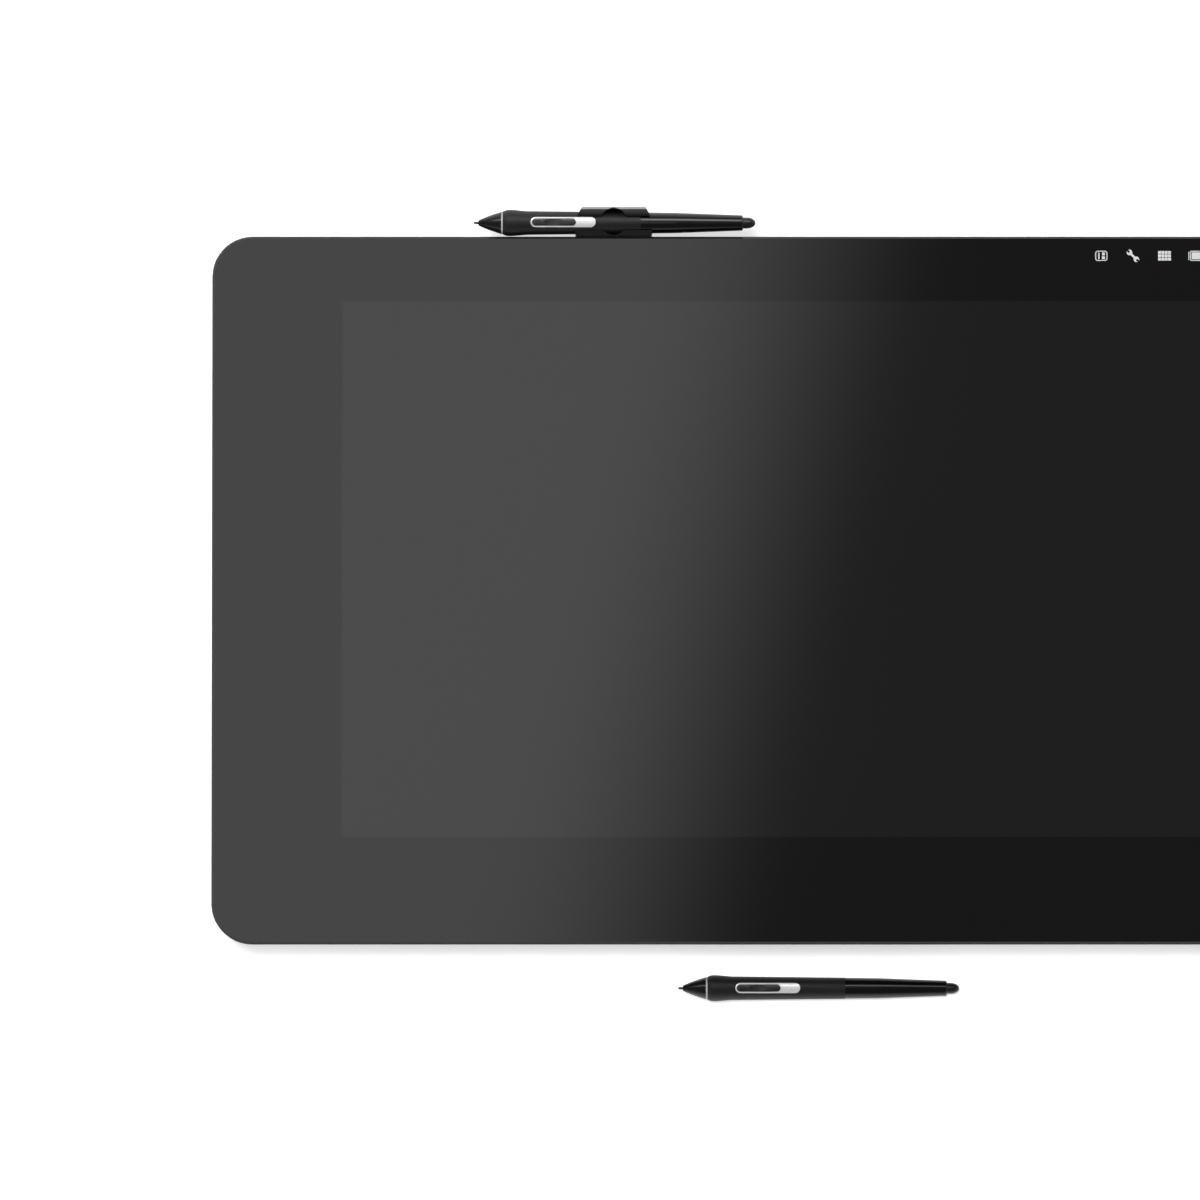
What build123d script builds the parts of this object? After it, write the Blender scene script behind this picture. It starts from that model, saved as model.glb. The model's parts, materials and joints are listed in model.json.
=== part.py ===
from build123d import *

import os
from math import atan, cos, degrees, hypot, radians, sin, tan

# A pen display: a drawing tablet with a built-in screen, lying flat on its back with its
# two legs folded in. A pen lies in a clip on the far edge and a second pen lies on the
# desk in front. X runs along the long edge, Y from the user to the far edge, Z up out of
# the glass. Heights are measured from the desk, in millimetres.

# Whole unit
unit_height = 47.0
corner_radius = 22.5
running_gap = 0.05
sheet_gap = 0.1
slide_gap = 0.2
overrun = 1.0

# Cover glass and its adhesive frame
glass_thickness = 2.0
glass_inset = 0.4
glass_chamfer = 0.9
gasket_thickness = 0.5
gasket_inset = 1.6
gasket_width = 5.5

# Picture area, seen through the glass
screen_width = 532.2
screen_depth = 298.3
screen_side_border = 72.4
screen_top_border = 36.2
screen_bottom_border = 59.5

# Display stack under the glass
panel_border = 4.0
panel_thickness = 2.0
sheets_thickness = 0.6
guide_thickness = 3.0
tray_sheet = 1.0
led_bar_depth = 1.6
sensor_board_thickness = 1.1
shield_thickness = 0.5

# Function icons at the far right of the glass
icon_end_distance = 182.1
icon_pitch = 17.6
icon_edge_distance = 10.9
icon_height = 5.6
icon_line = 0.5
icon_depth = 0.2
icon_pad_width = 6.8
icon_keys_width = 7.4
icon_monitor_width = 8.6
icon_wrench_length = 8.6
icon_wrench_head = 1.55
icon_wrench_bar = 1.25
icon_board_depth = 8.5
icon_board_thickness = 1.2
icon_board_margin = 8.0

# Metal side frame
frame_wall = 3.0
frame_low = 29.0
ledge_width = 8.0
ledge_thickness = 2.0
flange_width = 14.0
flange_thickness = 2.0
frame_edge_fillet = 1.2

# Chassis plate with its tabs and posts
chassis_end_margin = 38.5
chassis_edge_margin = 16.0
chassis_thickness = 2.6
chassis_tab_width = 24.0
chassis_tab_reach = 8.0
chassis_tab_inner_x = 40.0
chassis_tab_leg_distance = 45.0
chassis_tab_near_distance = 97.0
chassis_tab_far_distance = 67.0
chassis_relief_width = 78.0
chassis_relief_depth = 46.0
chassis_relief_height = 1.2
post_radius = 3.5

# Rear housing
foot_height = 3.0
housing_wall = 2.5
slope_run = 45.0
slope_fillet = 9.0
boss_radius = 4.5
tub_wall = 4.0

# Legs, which fold out to just past square so that the unit's weight holds them open
leg_end_distance = 123.5
leg_width = 60.0
leg_length = 90.0
leg_thickness = 9.0
leg_hinge_distance = 102.0
leg_gap = 0.6
leg_roof_gap = 0.8
leg_open_angle = 100.0
leg_skin = 2.4
leg_rib = 2.4
leg_pocket_count = 4
leg_finger_space = 15.0
leg_pin_radius = 2.0
leg_pin_bite = 3.0
leg_pad_length = 9.0
leg_pad_tongue = 4.0
leg_pad_tongue_thickness = 2.6
leg_pad_fillet = 2.2

# Cable well, its door and the sockets in it
well_width = 150.0
well_depth = 50.0
well_height = 18.0
well_mount_gap = 9.0
exit_width = 60.0
exit_height = 11.0
door_gap = 0.5
door_thickness = 2.6
door_pin_radius = 1.0
door_barrel_radius = 2.2
door_pin_bite = 2.5
door_rib_height = 2.0
door_rib_width = 1.6
hdmi_size = (15.0, 5.6)
displayport_size = (16.5, 5.2)
usb_c_size = (9.0, 3.3)
power_jack_size = (12.0, 5.6)
power_jack_bore = 2.2
power_jack_pin = 0.8
input_depth = 12.0
input_wall = 0.4
input_fit = 0.3
input_tongue = 0.8
input_tongue_fall = 2.0
input_x = (-50.0, -24.0, 2.0, 34.0)

# Service cover
cover_foot_gap = 55.0
cover_mount_gap = 11.0
cover_edge_distance = 55.0
cover_thickness = 2.2
cover_gap = 0.4
cover_ledge = 8.0
cover_corner = 6.0
cover_frame_thickness = 5.5

# Screws
screw_head_radius = 2.7
screw_head_height = 1.6
screw_shank_radius = 1.4
cover_screw_length = 3.6
housing_screw_length = 14.0
screw_recess_depth = 0.9
screw_recess_width = 0.7
screw_recess_span = 3.0
screw_hole_gap = 0.1
housing_screw_leg_distance = 50.0
housing_screw_far_distance = 67.0
housing_screw_near_distance = 57.0
housing_screw_end_distance = 56.5
housing_screw_end_y = (30.0, -90.0)
head_sink = 0.6

# Arm mount, the usual square of four M4 threads
mount_pitch = 100.0
mount_thread_radius = 1.65
mount_bush_radius = 4.5
mount_bush_length = 11.0
mount_wall = 2.5

# Rubber feet
foot_length = 60.0
foot_width = 10.0
foot_sink = 1.0
foot_front_distance = 59.0
foot_back_distance = 69.0
foot_fillet = 1.0

# Boards
board_thickness = 1.6
main_board_low = 19.0
main_board_depth = 122.0
main_board_gap = 1.4
power_board_size = (110.0, 64.0)
power_board_end_distance = 120.5
power_board_edge_distance = 113.0
coil_size = (26.0, 22.0, 9.0)
capacitor_radius = 5.0
capacitor_height = 10.0
capacitor_count = 4
capacitor_pitch = 13.0
chip_size = (32.0, 32.0, 1.5)
memory_size = (14.0, 10.0, 1.2)
memory_count = 4
memory_pitch = 20.0
sink_size = (84.0, 48.0)
sink_base = 2.0
sink_fin_height = 7.5
sink_fin_thickness = 1.0
sink_fin_count = 14

# Blowers
fan_y = 5.0
fan_leg_gap = 2.4
fan_board_gap = 8.0
fan_size = 60.0
fan_low = 6.4
fan_height = 13.6
fan_wall = 1.2
fan_floor = 1.0
fan_inlet_radius = 20.0
fan_hub_radius = 10.0
fan_blade_radius = 26.0
fan_blade_root = 7.0
fan_blade_thickness = 0.9
fan_blade_count = 11
fan_blade_sweep = 25.0
fan_chamber_radius = 27.5
fan_axle_radius = 1.2
fan_rotor_gap = 0.8
vent_slot_width = 2.6
vent_slot_pitch = 5.2
vent_slot_count = 9
exhaust_slot_width = 3.0
exhaust_slot_pitch = 6.0
exhaust_slot_count = 14
exhaust_fan_distance = 16.0
exhaust_low = 13.0
exhaust_high = 23.0

# Ports in the two side walls
port_board_depth = 28.0
port_board_y = (-6.0, 82.0)
port_board_standoff = 2.2
port_board_setback = 1.6
usb_size = (13.2, 5.7)
usb_depth = 14.0
usb_wall = 0.35
usb_tongue_thickness = 1.8
usb_tongue_width = 11.0
usb_tongue_drop = 0.9
usb_tongue_setback = 1.2
usb_y = (40.0, 64.0)
port_gap = 0.2
port_setback = 0.4
card_size = (26.0, 3.4)
card_slot = (24.4, 2.3)
card_depth = 22.0
card_y = 10.0
jack_size = (7.0, 6.0)
jack_hole_radius = 1.75
jack_depth = 12.0
jack_y = 14.0

# Power button and touch switch in the far wall
control_height = 37.0
button_end_distance = 110.5
button_length = 12.0
button_height = 4.4
button_proud = 0.5
button_flange = 1.0
button_flange_thickness = 1.2
button_travel = 0.8
switch_button_distance = 26.0
switch_slot_length = 11.0
switch_knob_length = 6.0
switch_knob_height = 3.4
switch_ridge_count = 3
switch_ridge_pitch = 1.4
switch_ridge_width = 0.5
switch_ridge_depth = 0.3
control_board_length = 60.0
control_board_thickness = 1.2
control_board_height = 10.4
tact_body = (6.0, 4.0, 2.4)

# Pen clip on the far edge
clip_x = -115.0
clip_width = 42.7
clip_rim_width = 35.6
clip_shoulder_width = 39.8
clip_rim_corner = 3.9
clip_edge_gap = 0.3
clip_low = 12.0
clip_back_rise = 7.4
clip_front_rise = 4.9
clip_lip_rise = 6.4
clip_rim_thickness = 1.2
clip_mouth_back = 3.4
clip_mouth_front = 4.3
clip_well_gap = 0.1
clip_well_wall = 0.5
clip_well_floor = 3.0
clip_liner_thickness = 2.0
clip_pen_gap = 0.3
clip_tongue_width = 26.0
clip_tongue_thickness = 4.0
clip_tongue_length = 12.0
clip_tongue_height = 38.6
clip_tongue_gap = 0.2
clip_fillet = 1.0
clip_notch_width = 2.2

# Pens. Stations run from the tip along the pen, each with the radius there.
nib_radius = 0.65
nib_length = 30.0
nib_gap = 0.15
nib_travel = 0.5
cone_start = 2.6
cone_start_radius = 1.45
ring_start = 15.3
ring_length = 0.9
ring_radius = 6.3
crest_station = 19.8
crest_radius = 7.35
waist_station = 31.0
waist_radius = 6.6
grip_end_station = 93.0
grip_end_radius = 5.95
shoulder_station = 112.0
shoulder_radius = 5.7
barrel_end_station = 150.0
barrel_end_radius = 4.3
pen_length = 157.0
eraser_radius = 3.1
eraser_dome_length = 4.8
eraser_root_station = 146.0
eraser_travel = 0.8
eraser_gap = 0.15
pen_skin = 1.75
core_gap = 0.1
cone_cavity_station = 12.6
cone_bulge = 0.25
core_end_station = 120.0
core_clearance = 0.2
bezel_start = 31.7
bezel_length = 36.2
bezel_width = 5.7
bezel_proud = 0.12
bezel_rim = 0.75
bezel_fit = 0.05
rocker_start = 32.6
rocker_length = 24.2
rocker_gap = 0.2
rocker_proud = 0.35
rocker_seat = 4.4
rocker_foot_length = 3.0
rocker_swing = 3.0
rocker_groove_radius = 40.0
rocker_groove_depth = 0.35

# Where the two pens lie, from the unit's edges
docked_tip_reach = 78.0
docked_pen_offset = 7.85
docked_pen_height = 42.0
loose_tip_x = -79.0
loose_pen_offset = 23.7

# The unit's outline follows the picture area and its borders
unit_width = screen_width + 2 * screen_side_border
unit_depth = screen_bottom_border + screen_depth + screen_top_border
half_width = unit_width / 2
half_depth = unit_depth / 2

# The clip's well lets a pen stand in it, between two thin walls
clip_well_radius = crest_radius + clip_well_gap
clip_depth = clip_edge_gap + 2 * (clip_well_radius + clip_well_wall)

# The origin is the middle of everything's footprint, so the unit's centre stands off it
front_reach = half_depth + loose_pen_offset + crest_radius
back_reach = half_depth + clip_depth
unit_y = (front_reach - back_reach) / 2
far_y = unit_y + half_depth
near_y = unit_y - half_depth

# Places worked out from the unit's edges, and from what lies beside them
leg_centre_x = half_width - leg_end_distance
leg_hinge_y = half_depth - leg_hinge_distance
foot_x = leg_centre_x
foot_front_y = foot_front_distance - half_depth
foot_back_y = half_depth - foot_back_distance
cover_width = 2 * (foot_x - foot_length / 2 - cover_foot_gap)
mount_reach = mount_pitch / 2 + mount_bush_radius + mount_wall
cover_far_y = -mount_reach - cover_mount_gap
cover_near_y = cover_edge_distance - half_depth
cover_depth = cover_far_y - cover_near_y
cover_centre_y = (cover_far_y + cover_near_y) / 2
well_near_y = mount_reach + tub_wall + well_mount_gap
fan_x = leg_centre_x - leg_width / 2 - leg_gap - tub_wall - fan_leg_gap - fan_size / 2
exhaust_x = fan_x - exhaust_fan_distance
main_board_width = 2 * (fan_x - fan_size / 2 - fan_board_gap)
power_board_x = half_width - power_board_end_distance
power_board_y = power_board_edge_distance - half_depth
chassis_width = unit_width - 2 * chassis_end_margin
chassis_depth = unit_depth - 2 * chassis_edge_margin
chassis_tab_x = (chassis_tab_inner_x, leg_centre_x - chassis_tab_leg_distance)
chassis_tab_y = (chassis_tab_near_distance - half_depth, half_depth - chassis_tab_far_distance)
housing_screw_inner_x = leg_centre_x - housing_screw_leg_distance
housing_screw_outer_x = half_width - housing_screw_end_distance
housing_screw_places = [
    (housing_screw_inner_x, half_depth - housing_screw_far_distance),
    (housing_screw_inner_x, housing_screw_near_distance - half_depth),
    *[(housing_screw_outer_x, y) for y in housing_screw_end_y],
]
icon_first_x = half_width - icon_end_distance
button_x = half_width - button_end_distance
switch_x = button_x + switch_button_distance
docked_tip_x = clip_x - docked_tip_reach

# Heights worked out from the stack, top down
glass_low = unit_height - glass_thickness
frame_high = glass_low - gasket_thickness
panel_low = glass_low - panel_thickness
sheets_low = panel_low - sheet_gap - sheets_thickness
guide_low = sheets_low - sheet_gap - guide_thickness
tray_low = guide_low - sheet_gap - tray_sheet
sensor_board_low = tray_low - sheet_gap - sensor_board_thickness
shield_low = sensor_board_low - sheet_gap - shield_thickness
chassis_high = shield_low - sheet_gap
chassis_low = chassis_high - chassis_thickness
flange_high = frame_low + flange_thickness
housing_inside = foot_height + housing_wall
screen_y = half_depth - screen_top_border - screen_depth / 2
panel_width = screen_width + 2 * panel_border
panel_depth = screen_depth + 2 * panel_border
tray_width = panel_width + 2 * (tray_sheet + sheet_gap)
tray_depth = panel_depth + 2 * (tray_sheet + sheet_gap)
slope_drop = frame_low - foot_height
slope_wall = housing_wall * hypot(slope_run, slope_drop) / slope_drop

# Boxes and cylinders grow up from their place, or down from it
LOW = (Align.CENTER, Align.CENTER, Align.MIN)
HIGH = (Align.CENTER, Align.CENTER, Align.MAX)
CUT = Mode.SUBTRACT
sides = (-1, 1)

os.makedirs("parts", exist_ok=True)


def save(piece, name):
    """Labels a finished piece and writes it under that name."""
    piece.label = name
    export_step(piece, f"parts/{name}.step")


def level(height, x=0.0, y=0.0):
    """A flat plane at a height above the desk, with x and y from the unit's centre."""
    return Plane(origin=(x, unit_y + y, height), z_dir=(0, 0, 1))


def far_wall(x, height):
    """A plane on the outside of the far edge, facing away from the user."""
    return Plane(origin=(x, far_y, height), x_dir=(1, 0, 0), z_dir=(0, 1, 0))


def end_wall(side, y, height):
    """A plane on the outside of the left (-1) or right (1) edge, facing out."""
    return Plane(origin=(side * half_width, unit_y + y, height), x_dir=(0, 1, 0), z_dir=(side, 0, 0))


def across(x, y, height):
    """A plane facing along X, for pins and bores that run that way."""
    return Plane(origin=(x, unit_y + y, height), z_dir=(1, 0, 0))


def block(width, depth, low, high, x=0.0, y=0.0, mode=Mode.ADD):
    """Adds or cuts a box between two heights, with x and y from the unit's centre."""
    with Locations((x, unit_y + y, low)):
        Box(width, depth, high - low, align=LOW, mode=mode)


def blocks(width, depth, low, high, places, mode=Mode.ADD):
    """Adds or cuts the same box at each of a list of places."""
    with Locations([(x, unit_y + y, low) for x, y in places]):
        Box(width, depth, high - low, align=LOW, mode=mode)


def posts(radius, low, high, places, mode=Mode.ADD):
    """Adds or cuts an upright cylinder between two heights at each of a list of places."""
    with Locations([(x, unit_y + y, low) for x, y in places]):
        Cylinder(radius, high - low, align=LOW, mode=mode)


def row(count, pitch):
    """Places at an even pitch on both sides of zero."""
    return [(place - (count - 1) / 2) * pitch for place in range(count)]


def inset_outline(inset, height):
    """The unit's outline drawn in by an inset, as a face at a height."""
    with BuildSketch(level(height)) as outline:
        RectangleRounded(
            unit_width - 2 * inset,
            unit_depth - 2 * inset,
            max(corner_radius - inset, corner_radius / 4),
        )
    return outline.sketch


def ring_band(outer_inset, inner_inset, low, high):
    """A flat ring between two insets of the outline, for use inside an open part."""
    extrude(inset_outline(outer_inset, low), amount=high - low)
    extrude(inset_outline(inner_inset, low), amount=high - low, mode=CUT)


# Function icons: a key pad, a spanner, a keyboard and a monitor


def icon_sketch(height):
    """The four icons' strokes as one sketch on the glass."""
    icon_y = half_depth - icon_edge_distance
    with BuildSketch(level(height, icon_first_x, icon_y)) as icons:
        # Key pad: a rounded frame round one tall key and two short ones
        RectangleRounded(icon_pad_width, icon_height, icon_height / 4)
        RectangleRounded(
            icon_pad_width - 2 * icon_line,
            icon_height - 2 * icon_line,
            icon_height / 4 - icon_line,
            mode=CUT,
        )
        key_width = icon_pad_width / 4
        key_height = (icon_height - 5 * icon_line) / 2
        with Locations((-key_width * 0.8, 0)):
            Rectangle(icon_line * 1.4, 2 * key_height + icon_line)
        with Locations((key_width * 0.7, 0)):
            with GridLocations(key_width, key_height + icon_line, 1, 2):
                Rectangle(key_width, key_height)
        # Spanner: a slanted bar with an open jaw at each end
        slant = Location((icon_pitch, 0), -45)
        with Locations(slant):
            Rectangle(icon_wrench_length - 2 * icon_wrench_head, icon_wrench_bar)
            jaw_reach = icon_wrench_length / 2 - icon_wrench_head
            with Locations((-jaw_reach, 0), (jaw_reach, 0)):
                Circle(icon_wrench_head)
            with Locations((-jaw_reach - icon_wrench_head * 0.7, 0), (jaw_reach + icon_wrench_head * 0.7, 0)):
                Rectangle(icon_wrench_head * 1.3, icon_wrench_head * 0.8, mode=CUT)
        # Keyboard: four by three keys
        with Locations((2 * icon_pitch, 0)):
            with GridLocations(icon_keys_width / 4, icon_height / 3, 4, 3):
                Rectangle(icon_keys_width / 4 - icon_line / 2, icon_height / 3 - icon_line / 2)
        # Monitor: a frame with a filled picture and a bar each side
        with Locations((3 * icon_pitch, 0)):
            RectangleRounded(icon_monitor_width - 4 * icon_line, icon_height, icon_line)
            RectangleRounded(
                icon_monitor_width - 6 * icon_line,
                icon_height - 2 * icon_line,
                icon_line / 2,
                mode=CUT,
            )
            Rectangle(icon_monitor_width - 7.5 * icon_line, icon_height - 3.5 * icon_line)
            with GridLocations(icon_monitor_width - icon_line, icon_height, 2, 1):
                Rectangle(icon_line, icon_height - 2 * icon_line)
    return icons.sketch


with BuildPart() as touch_key_icons:
    extrude(icon_sketch(unit_height - icon_depth), amount=icon_depth)
save(touch_key_icons.part, "touch_key_icons")

# Cover glass, with a ground edge and the shallow pockets that the icons fill
with BuildPart() as cover_glass:
    extrude(inset_outline(glass_inset, glass_low), amount=glass_thickness)
    chamfer(cover_glass.faces().sort_by(Axis.Z)[-1].edges(), glass_chamfer)
    add(touch_key_icons.part, mode=CUT)
save(cover_glass.part, "cover_glass")

with BuildPart() as glass_gasket:
    ring_band(gasket_inset, gasket_inset + gasket_width, frame_high, glass_low)
save(glass_gasket.part, "glass_gasket")


# Display stack


def stack_plate(width, depth, low, thickness):
    """A plain plate centred on the picture area."""
    block(width, depth, low, low + thickness, y=screen_y)


with BuildPart() as lcd_panel:
    stack_plate(panel_width, panel_depth, panel_low, panel_thickness)
save(lcd_panel.part, "lcd_panel")

with BuildPart() as optical_sheets:
    stack_plate(panel_width - 2 * sheet_gap, panel_depth - 2 * sheet_gap, sheets_low, sheets_thickness)
save(optical_sheets.part, "optical_sheets")

led_bar_y = screen_y - panel_depth / 2 + led_bar_depth / 2
guide_depth = panel_depth - led_bar_depth - 2 * sheet_gap
with BuildPart() as light_guide:
    block(
        panel_width - 2 * sheet_gap,
        guide_depth,
        guide_low,
        guide_low + guide_thickness,
        y=screen_y + (panel_depth - guide_depth) / 2 - sheet_gap,
    )
save(light_guide.part, "light_guide")

with BuildPart() as led_strip:
    block(
        panel_width - 2 * sheet_gap,
        led_bar_depth - sheet_gap,
        guide_low,
        guide_low + guide_thickness - sheet_gap,
        y=led_bar_y - sheet_gap / 2,
    )
save(led_strip.part, "led_strip")

# The tray's wall stops just under the glass
with BuildPart() as backlight_tray:
    stack_plate(tray_width, tray_depth, tray_low, glass_low - sheet_gap - tray_low)
    block(
        panel_width + 2 * sheet_gap,
        panel_depth + 2 * sheet_gap,
        tray_low + tray_sheet,
        glass_low,
        y=screen_y,
        mode=CUT,
    )
save(backlight_tray.part, "backlight_tray")

with BuildPart() as pen_sensor_board:
    stack_plate(panel_width, panel_depth, sensor_board_low, sensor_board_thickness)
save(pen_sensor_board.part, "pen_sensor_board")

with BuildPart() as sensor_shield:
    stack_plate(panel_width, panel_depth, shield_low, shield_thickness)
save(sensor_shield.part, "sensor_shield")

icon_board_low = glass_low - icon_board_thickness
icon_board_y = half_depth - ledge_width - icon_board_depth / 2 - 2 * slide_gap
with BuildPart() as icon_light_board:
    block(
        3 * icon_pitch + 2 * icon_board_margin,
        icon_board_depth,
        icon_board_low,
        glass_low,
        x=icon_first_x + 1.5 * icon_pitch,
        y=icon_board_y,
    )
save(icon_light_board.part, "icon_light_board")

# Side frame: an upright wall, a ledge under the glass and a flange over the housing
usb_low = flange_high + port_board_standoff + board_thickness
button_room = button_flange_thickness + button_travel + slide_gap
control_board_y = half_depth - frame_wall - button_room - tact_body[2]
tab_seat_y = (unit_depth - flange_width) / 2
tab_seats = [(side * x, end * tab_seat_y) for x in chassis_tab_x for side in sides for end in sides]
tab_seats += [(side * (half_width - flange_width / 2), y) for y in chassis_tab_y for side in sides]
board_seat_x = half_width - frame_wall - chassis_tab_reach / 2 - port_board_setback
board_seat_y = (port_board_y[0] + chassis_tab_reach / 4, port_board_y[1] - chassis_tab_reach / 4)
board_seats = [(side * board_seat_x, y) for side in sides for y in board_seat_y]


def port_cut(side, y, middle, width, height):
    """A window for a socket through a side wall."""
    with BuildSketch(end_wall(side, y, middle)) as window:
        RectangleRounded(width + 2 * port_gap, height + 2 * port_gap, port_gap * 2)
    extrude(window.sketch, amount=-frame_wall - overrun, mode=CUT)


with BuildPart() as ledge:
    ring_band(frame_wall - running_gap, ledge_width, frame_high - ledge_thickness, frame_high)

with BuildPart() as flange:
    ring_band(frame_wall - running_gap, flange_width, frame_low, flange_high)

with BuildPart() as side_frame:
    ring_band(0, frame_wall, frame_low, frame_high)
    fillet(side_frame.faces().sort_by(Axis.Z)[0].outer_wire().edges(), frame_edge_fillet)
    add(ledge.part)
    add(flange.part)
    blocks(chassis_tab_reach, chassis_tab_reach, frame_low, chassis_low, tab_seats)
    board_seat_high = flange_high + port_board_standoff
    blocks(chassis_tab_reach, chassis_tab_reach / 2, frame_low, board_seat_high, board_seats)
    for side in sides:
        for y in usb_y:
            port_cut(side, y, usb_low + usb_size[1] / 2, *usb_size)
    port_cut(-1, card_y, usb_low + card_size[1] / 2, *card_size)
    with BuildSketch(end_wall(1, jack_y, usb_low + jack_size[1] / 2)):
        Circle(jack_hole_radius + usb_wall + port_gap)
    extrude(amount=-frame_wall - overrun, mode=CUT)
    with BuildSketch(far_wall(button_x, control_height)):
        RectangleRounded(button_length + 2 * slide_gap, button_height + 2 * slide_gap, button_height / 2)
    extrude(amount=-frame_wall - overrun, mode=CUT)
    with BuildSketch(far_wall(switch_x, control_height)):
        RectangleRounded(
            switch_slot_length + 2 * slide_gap, switch_knob_height + 2 * slide_gap, switch_knob_height / 2
        )
    extrude(amount=-frame_wall - overrun, mode=CUT)
    with BuildSketch(far_wall(clip_x, clip_tongue_height)):
        RectangleRounded(
            clip_tongue_width + 2 * clip_tongue_gap,
            clip_tongue_thickness + 2 * clip_tongue_gap,
            2 * clip_tongue_gap,
        )
    extrude(amount=-frame_wall - overrun, mode=CUT)
save(side_frame.part, "side_frame")

# Rear housing and what it has to leave room for
leg_over_angle = radians(leg_open_angle - 90)
leg_axis_high = foot_height + leg_thickness / 2
leg_pocket_high = foot_height + leg_thickness + leg_roof_gap
leg_pocket_far = leg_hinge_y + leg_thickness / 2 * (tan(leg_over_angle) + 1 / cos(leg_over_angle)) + leg_gap
leg_pocket_near = leg_hinge_y - leg_length - leg_finger_space
leg_pocket_depth = leg_pocket_far - leg_pocket_near
leg_pocket_y = (leg_pocket_far + leg_pocket_near) / 2
leg_pocket_width = leg_width + 2 * leg_gap
well_high = foot_height + well_height
well_far_y = well_near_y + well_depth
well_y = well_near_y + well_depth / 2
exit_high = foot_height + exit_height
exit_depth = half_depth - well_far_y
exit_y = well_far_y + exit_depth / 2
door_axis_y = well_near_y + door_gap + door_barrel_radius
door_axis_high = foot_height + door_barrel_radius
input_high = main_board_low
boss_high = housing_inside + housing_wall
screw_low = foot_height + head_sink
screw_high = screw_low + screw_head_height
screw_hole = screw_shank_radius + screw_hole_gap
housing_screw_spots = [(side * x, y) for x, y in housing_screw_places for side in sides]
leg_spots = [(side * leg_centre_x, leg_pocket_y) for side in sides]
cover_screw_x = cover_width / 2 - cover_ledge / 2
cover_screw_y = cover_depth / 2 - cover_ledge / 2
cover_screw_spots = [
    (side * cover_screw_x, cover_centre_y + end * cover_screw_y) for side in sides for end in sides
]
mount_spots = [(side * mount_pitch / 2, end * mount_pitch / 2) for side in sides for end in sides]
mount_high = foot_height + mount_bush_length
foot_high = foot_height + foot_sink
foot_spots = [(side * foot_x, y) for side in sides for y in (foot_front_y, foot_back_y)]
fan_spots = [(side * fan_x, fan_y) for side in sides]
vent_rows = row(vent_slot_count, vent_slot_pitch)
vent_spots = [(x, y + step) for x, y in fan_spots for step in vent_rows]
exhaust_y = (unit_depth - slope_run) / 2
exhaust_row = row(exhaust_slot_count, exhaust_slot_pitch)
exhaust_spots = [(side * exhaust_x + step, exhaust_y) for side in sides for step in exhaust_row]
input_sizes = (power_jack_size, hdmi_size, displayport_size, usb_c_size)

# The housing's hollow, less the walls round the pockets and the bosses
with BuildPart() as housing_hollow:
    hollow_run = slope_run * (frame_low - housing_inside) / slope_drop + slope_wall
    loft([inset_outline(slope_wall, frame_low), inset_outline(hollow_run, housing_inside)], ruled=True)
    blocks(
        leg_pocket_width + 2 * tub_wall,
        leg_pocket_depth + 2 * tub_wall,
        foot_height,
        leg_pocket_high + housing_wall,
        leg_spots,
        mode=CUT,
    )
    block(
        well_width + 2 * tub_wall,
        well_depth + 2 * tub_wall,
        foot_height,
        well_high + housing_wall,
        y=well_y,
        mode=CUT,
    )
    block(exit_width + 2 * tub_wall, exit_depth, foot_height, exit_high + housing_wall, y=exit_y, mode=CUT)
    cover_frame_high = foot_height + cover_frame_thickness
    cover_frame = (cover_width + 2 * tub_wall, cover_depth + 2 * tub_wall)
    block(*cover_frame, foot_height, cover_frame_high, y=cover_centre_y, mode=CUT)
    posts(mount_bush_radius + mount_wall, foot_height, mount_high, mount_spots, mode=CUT)
    posts(boss_radius, foot_height, boss_high, housing_screw_spots, mode=CUT)

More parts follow.
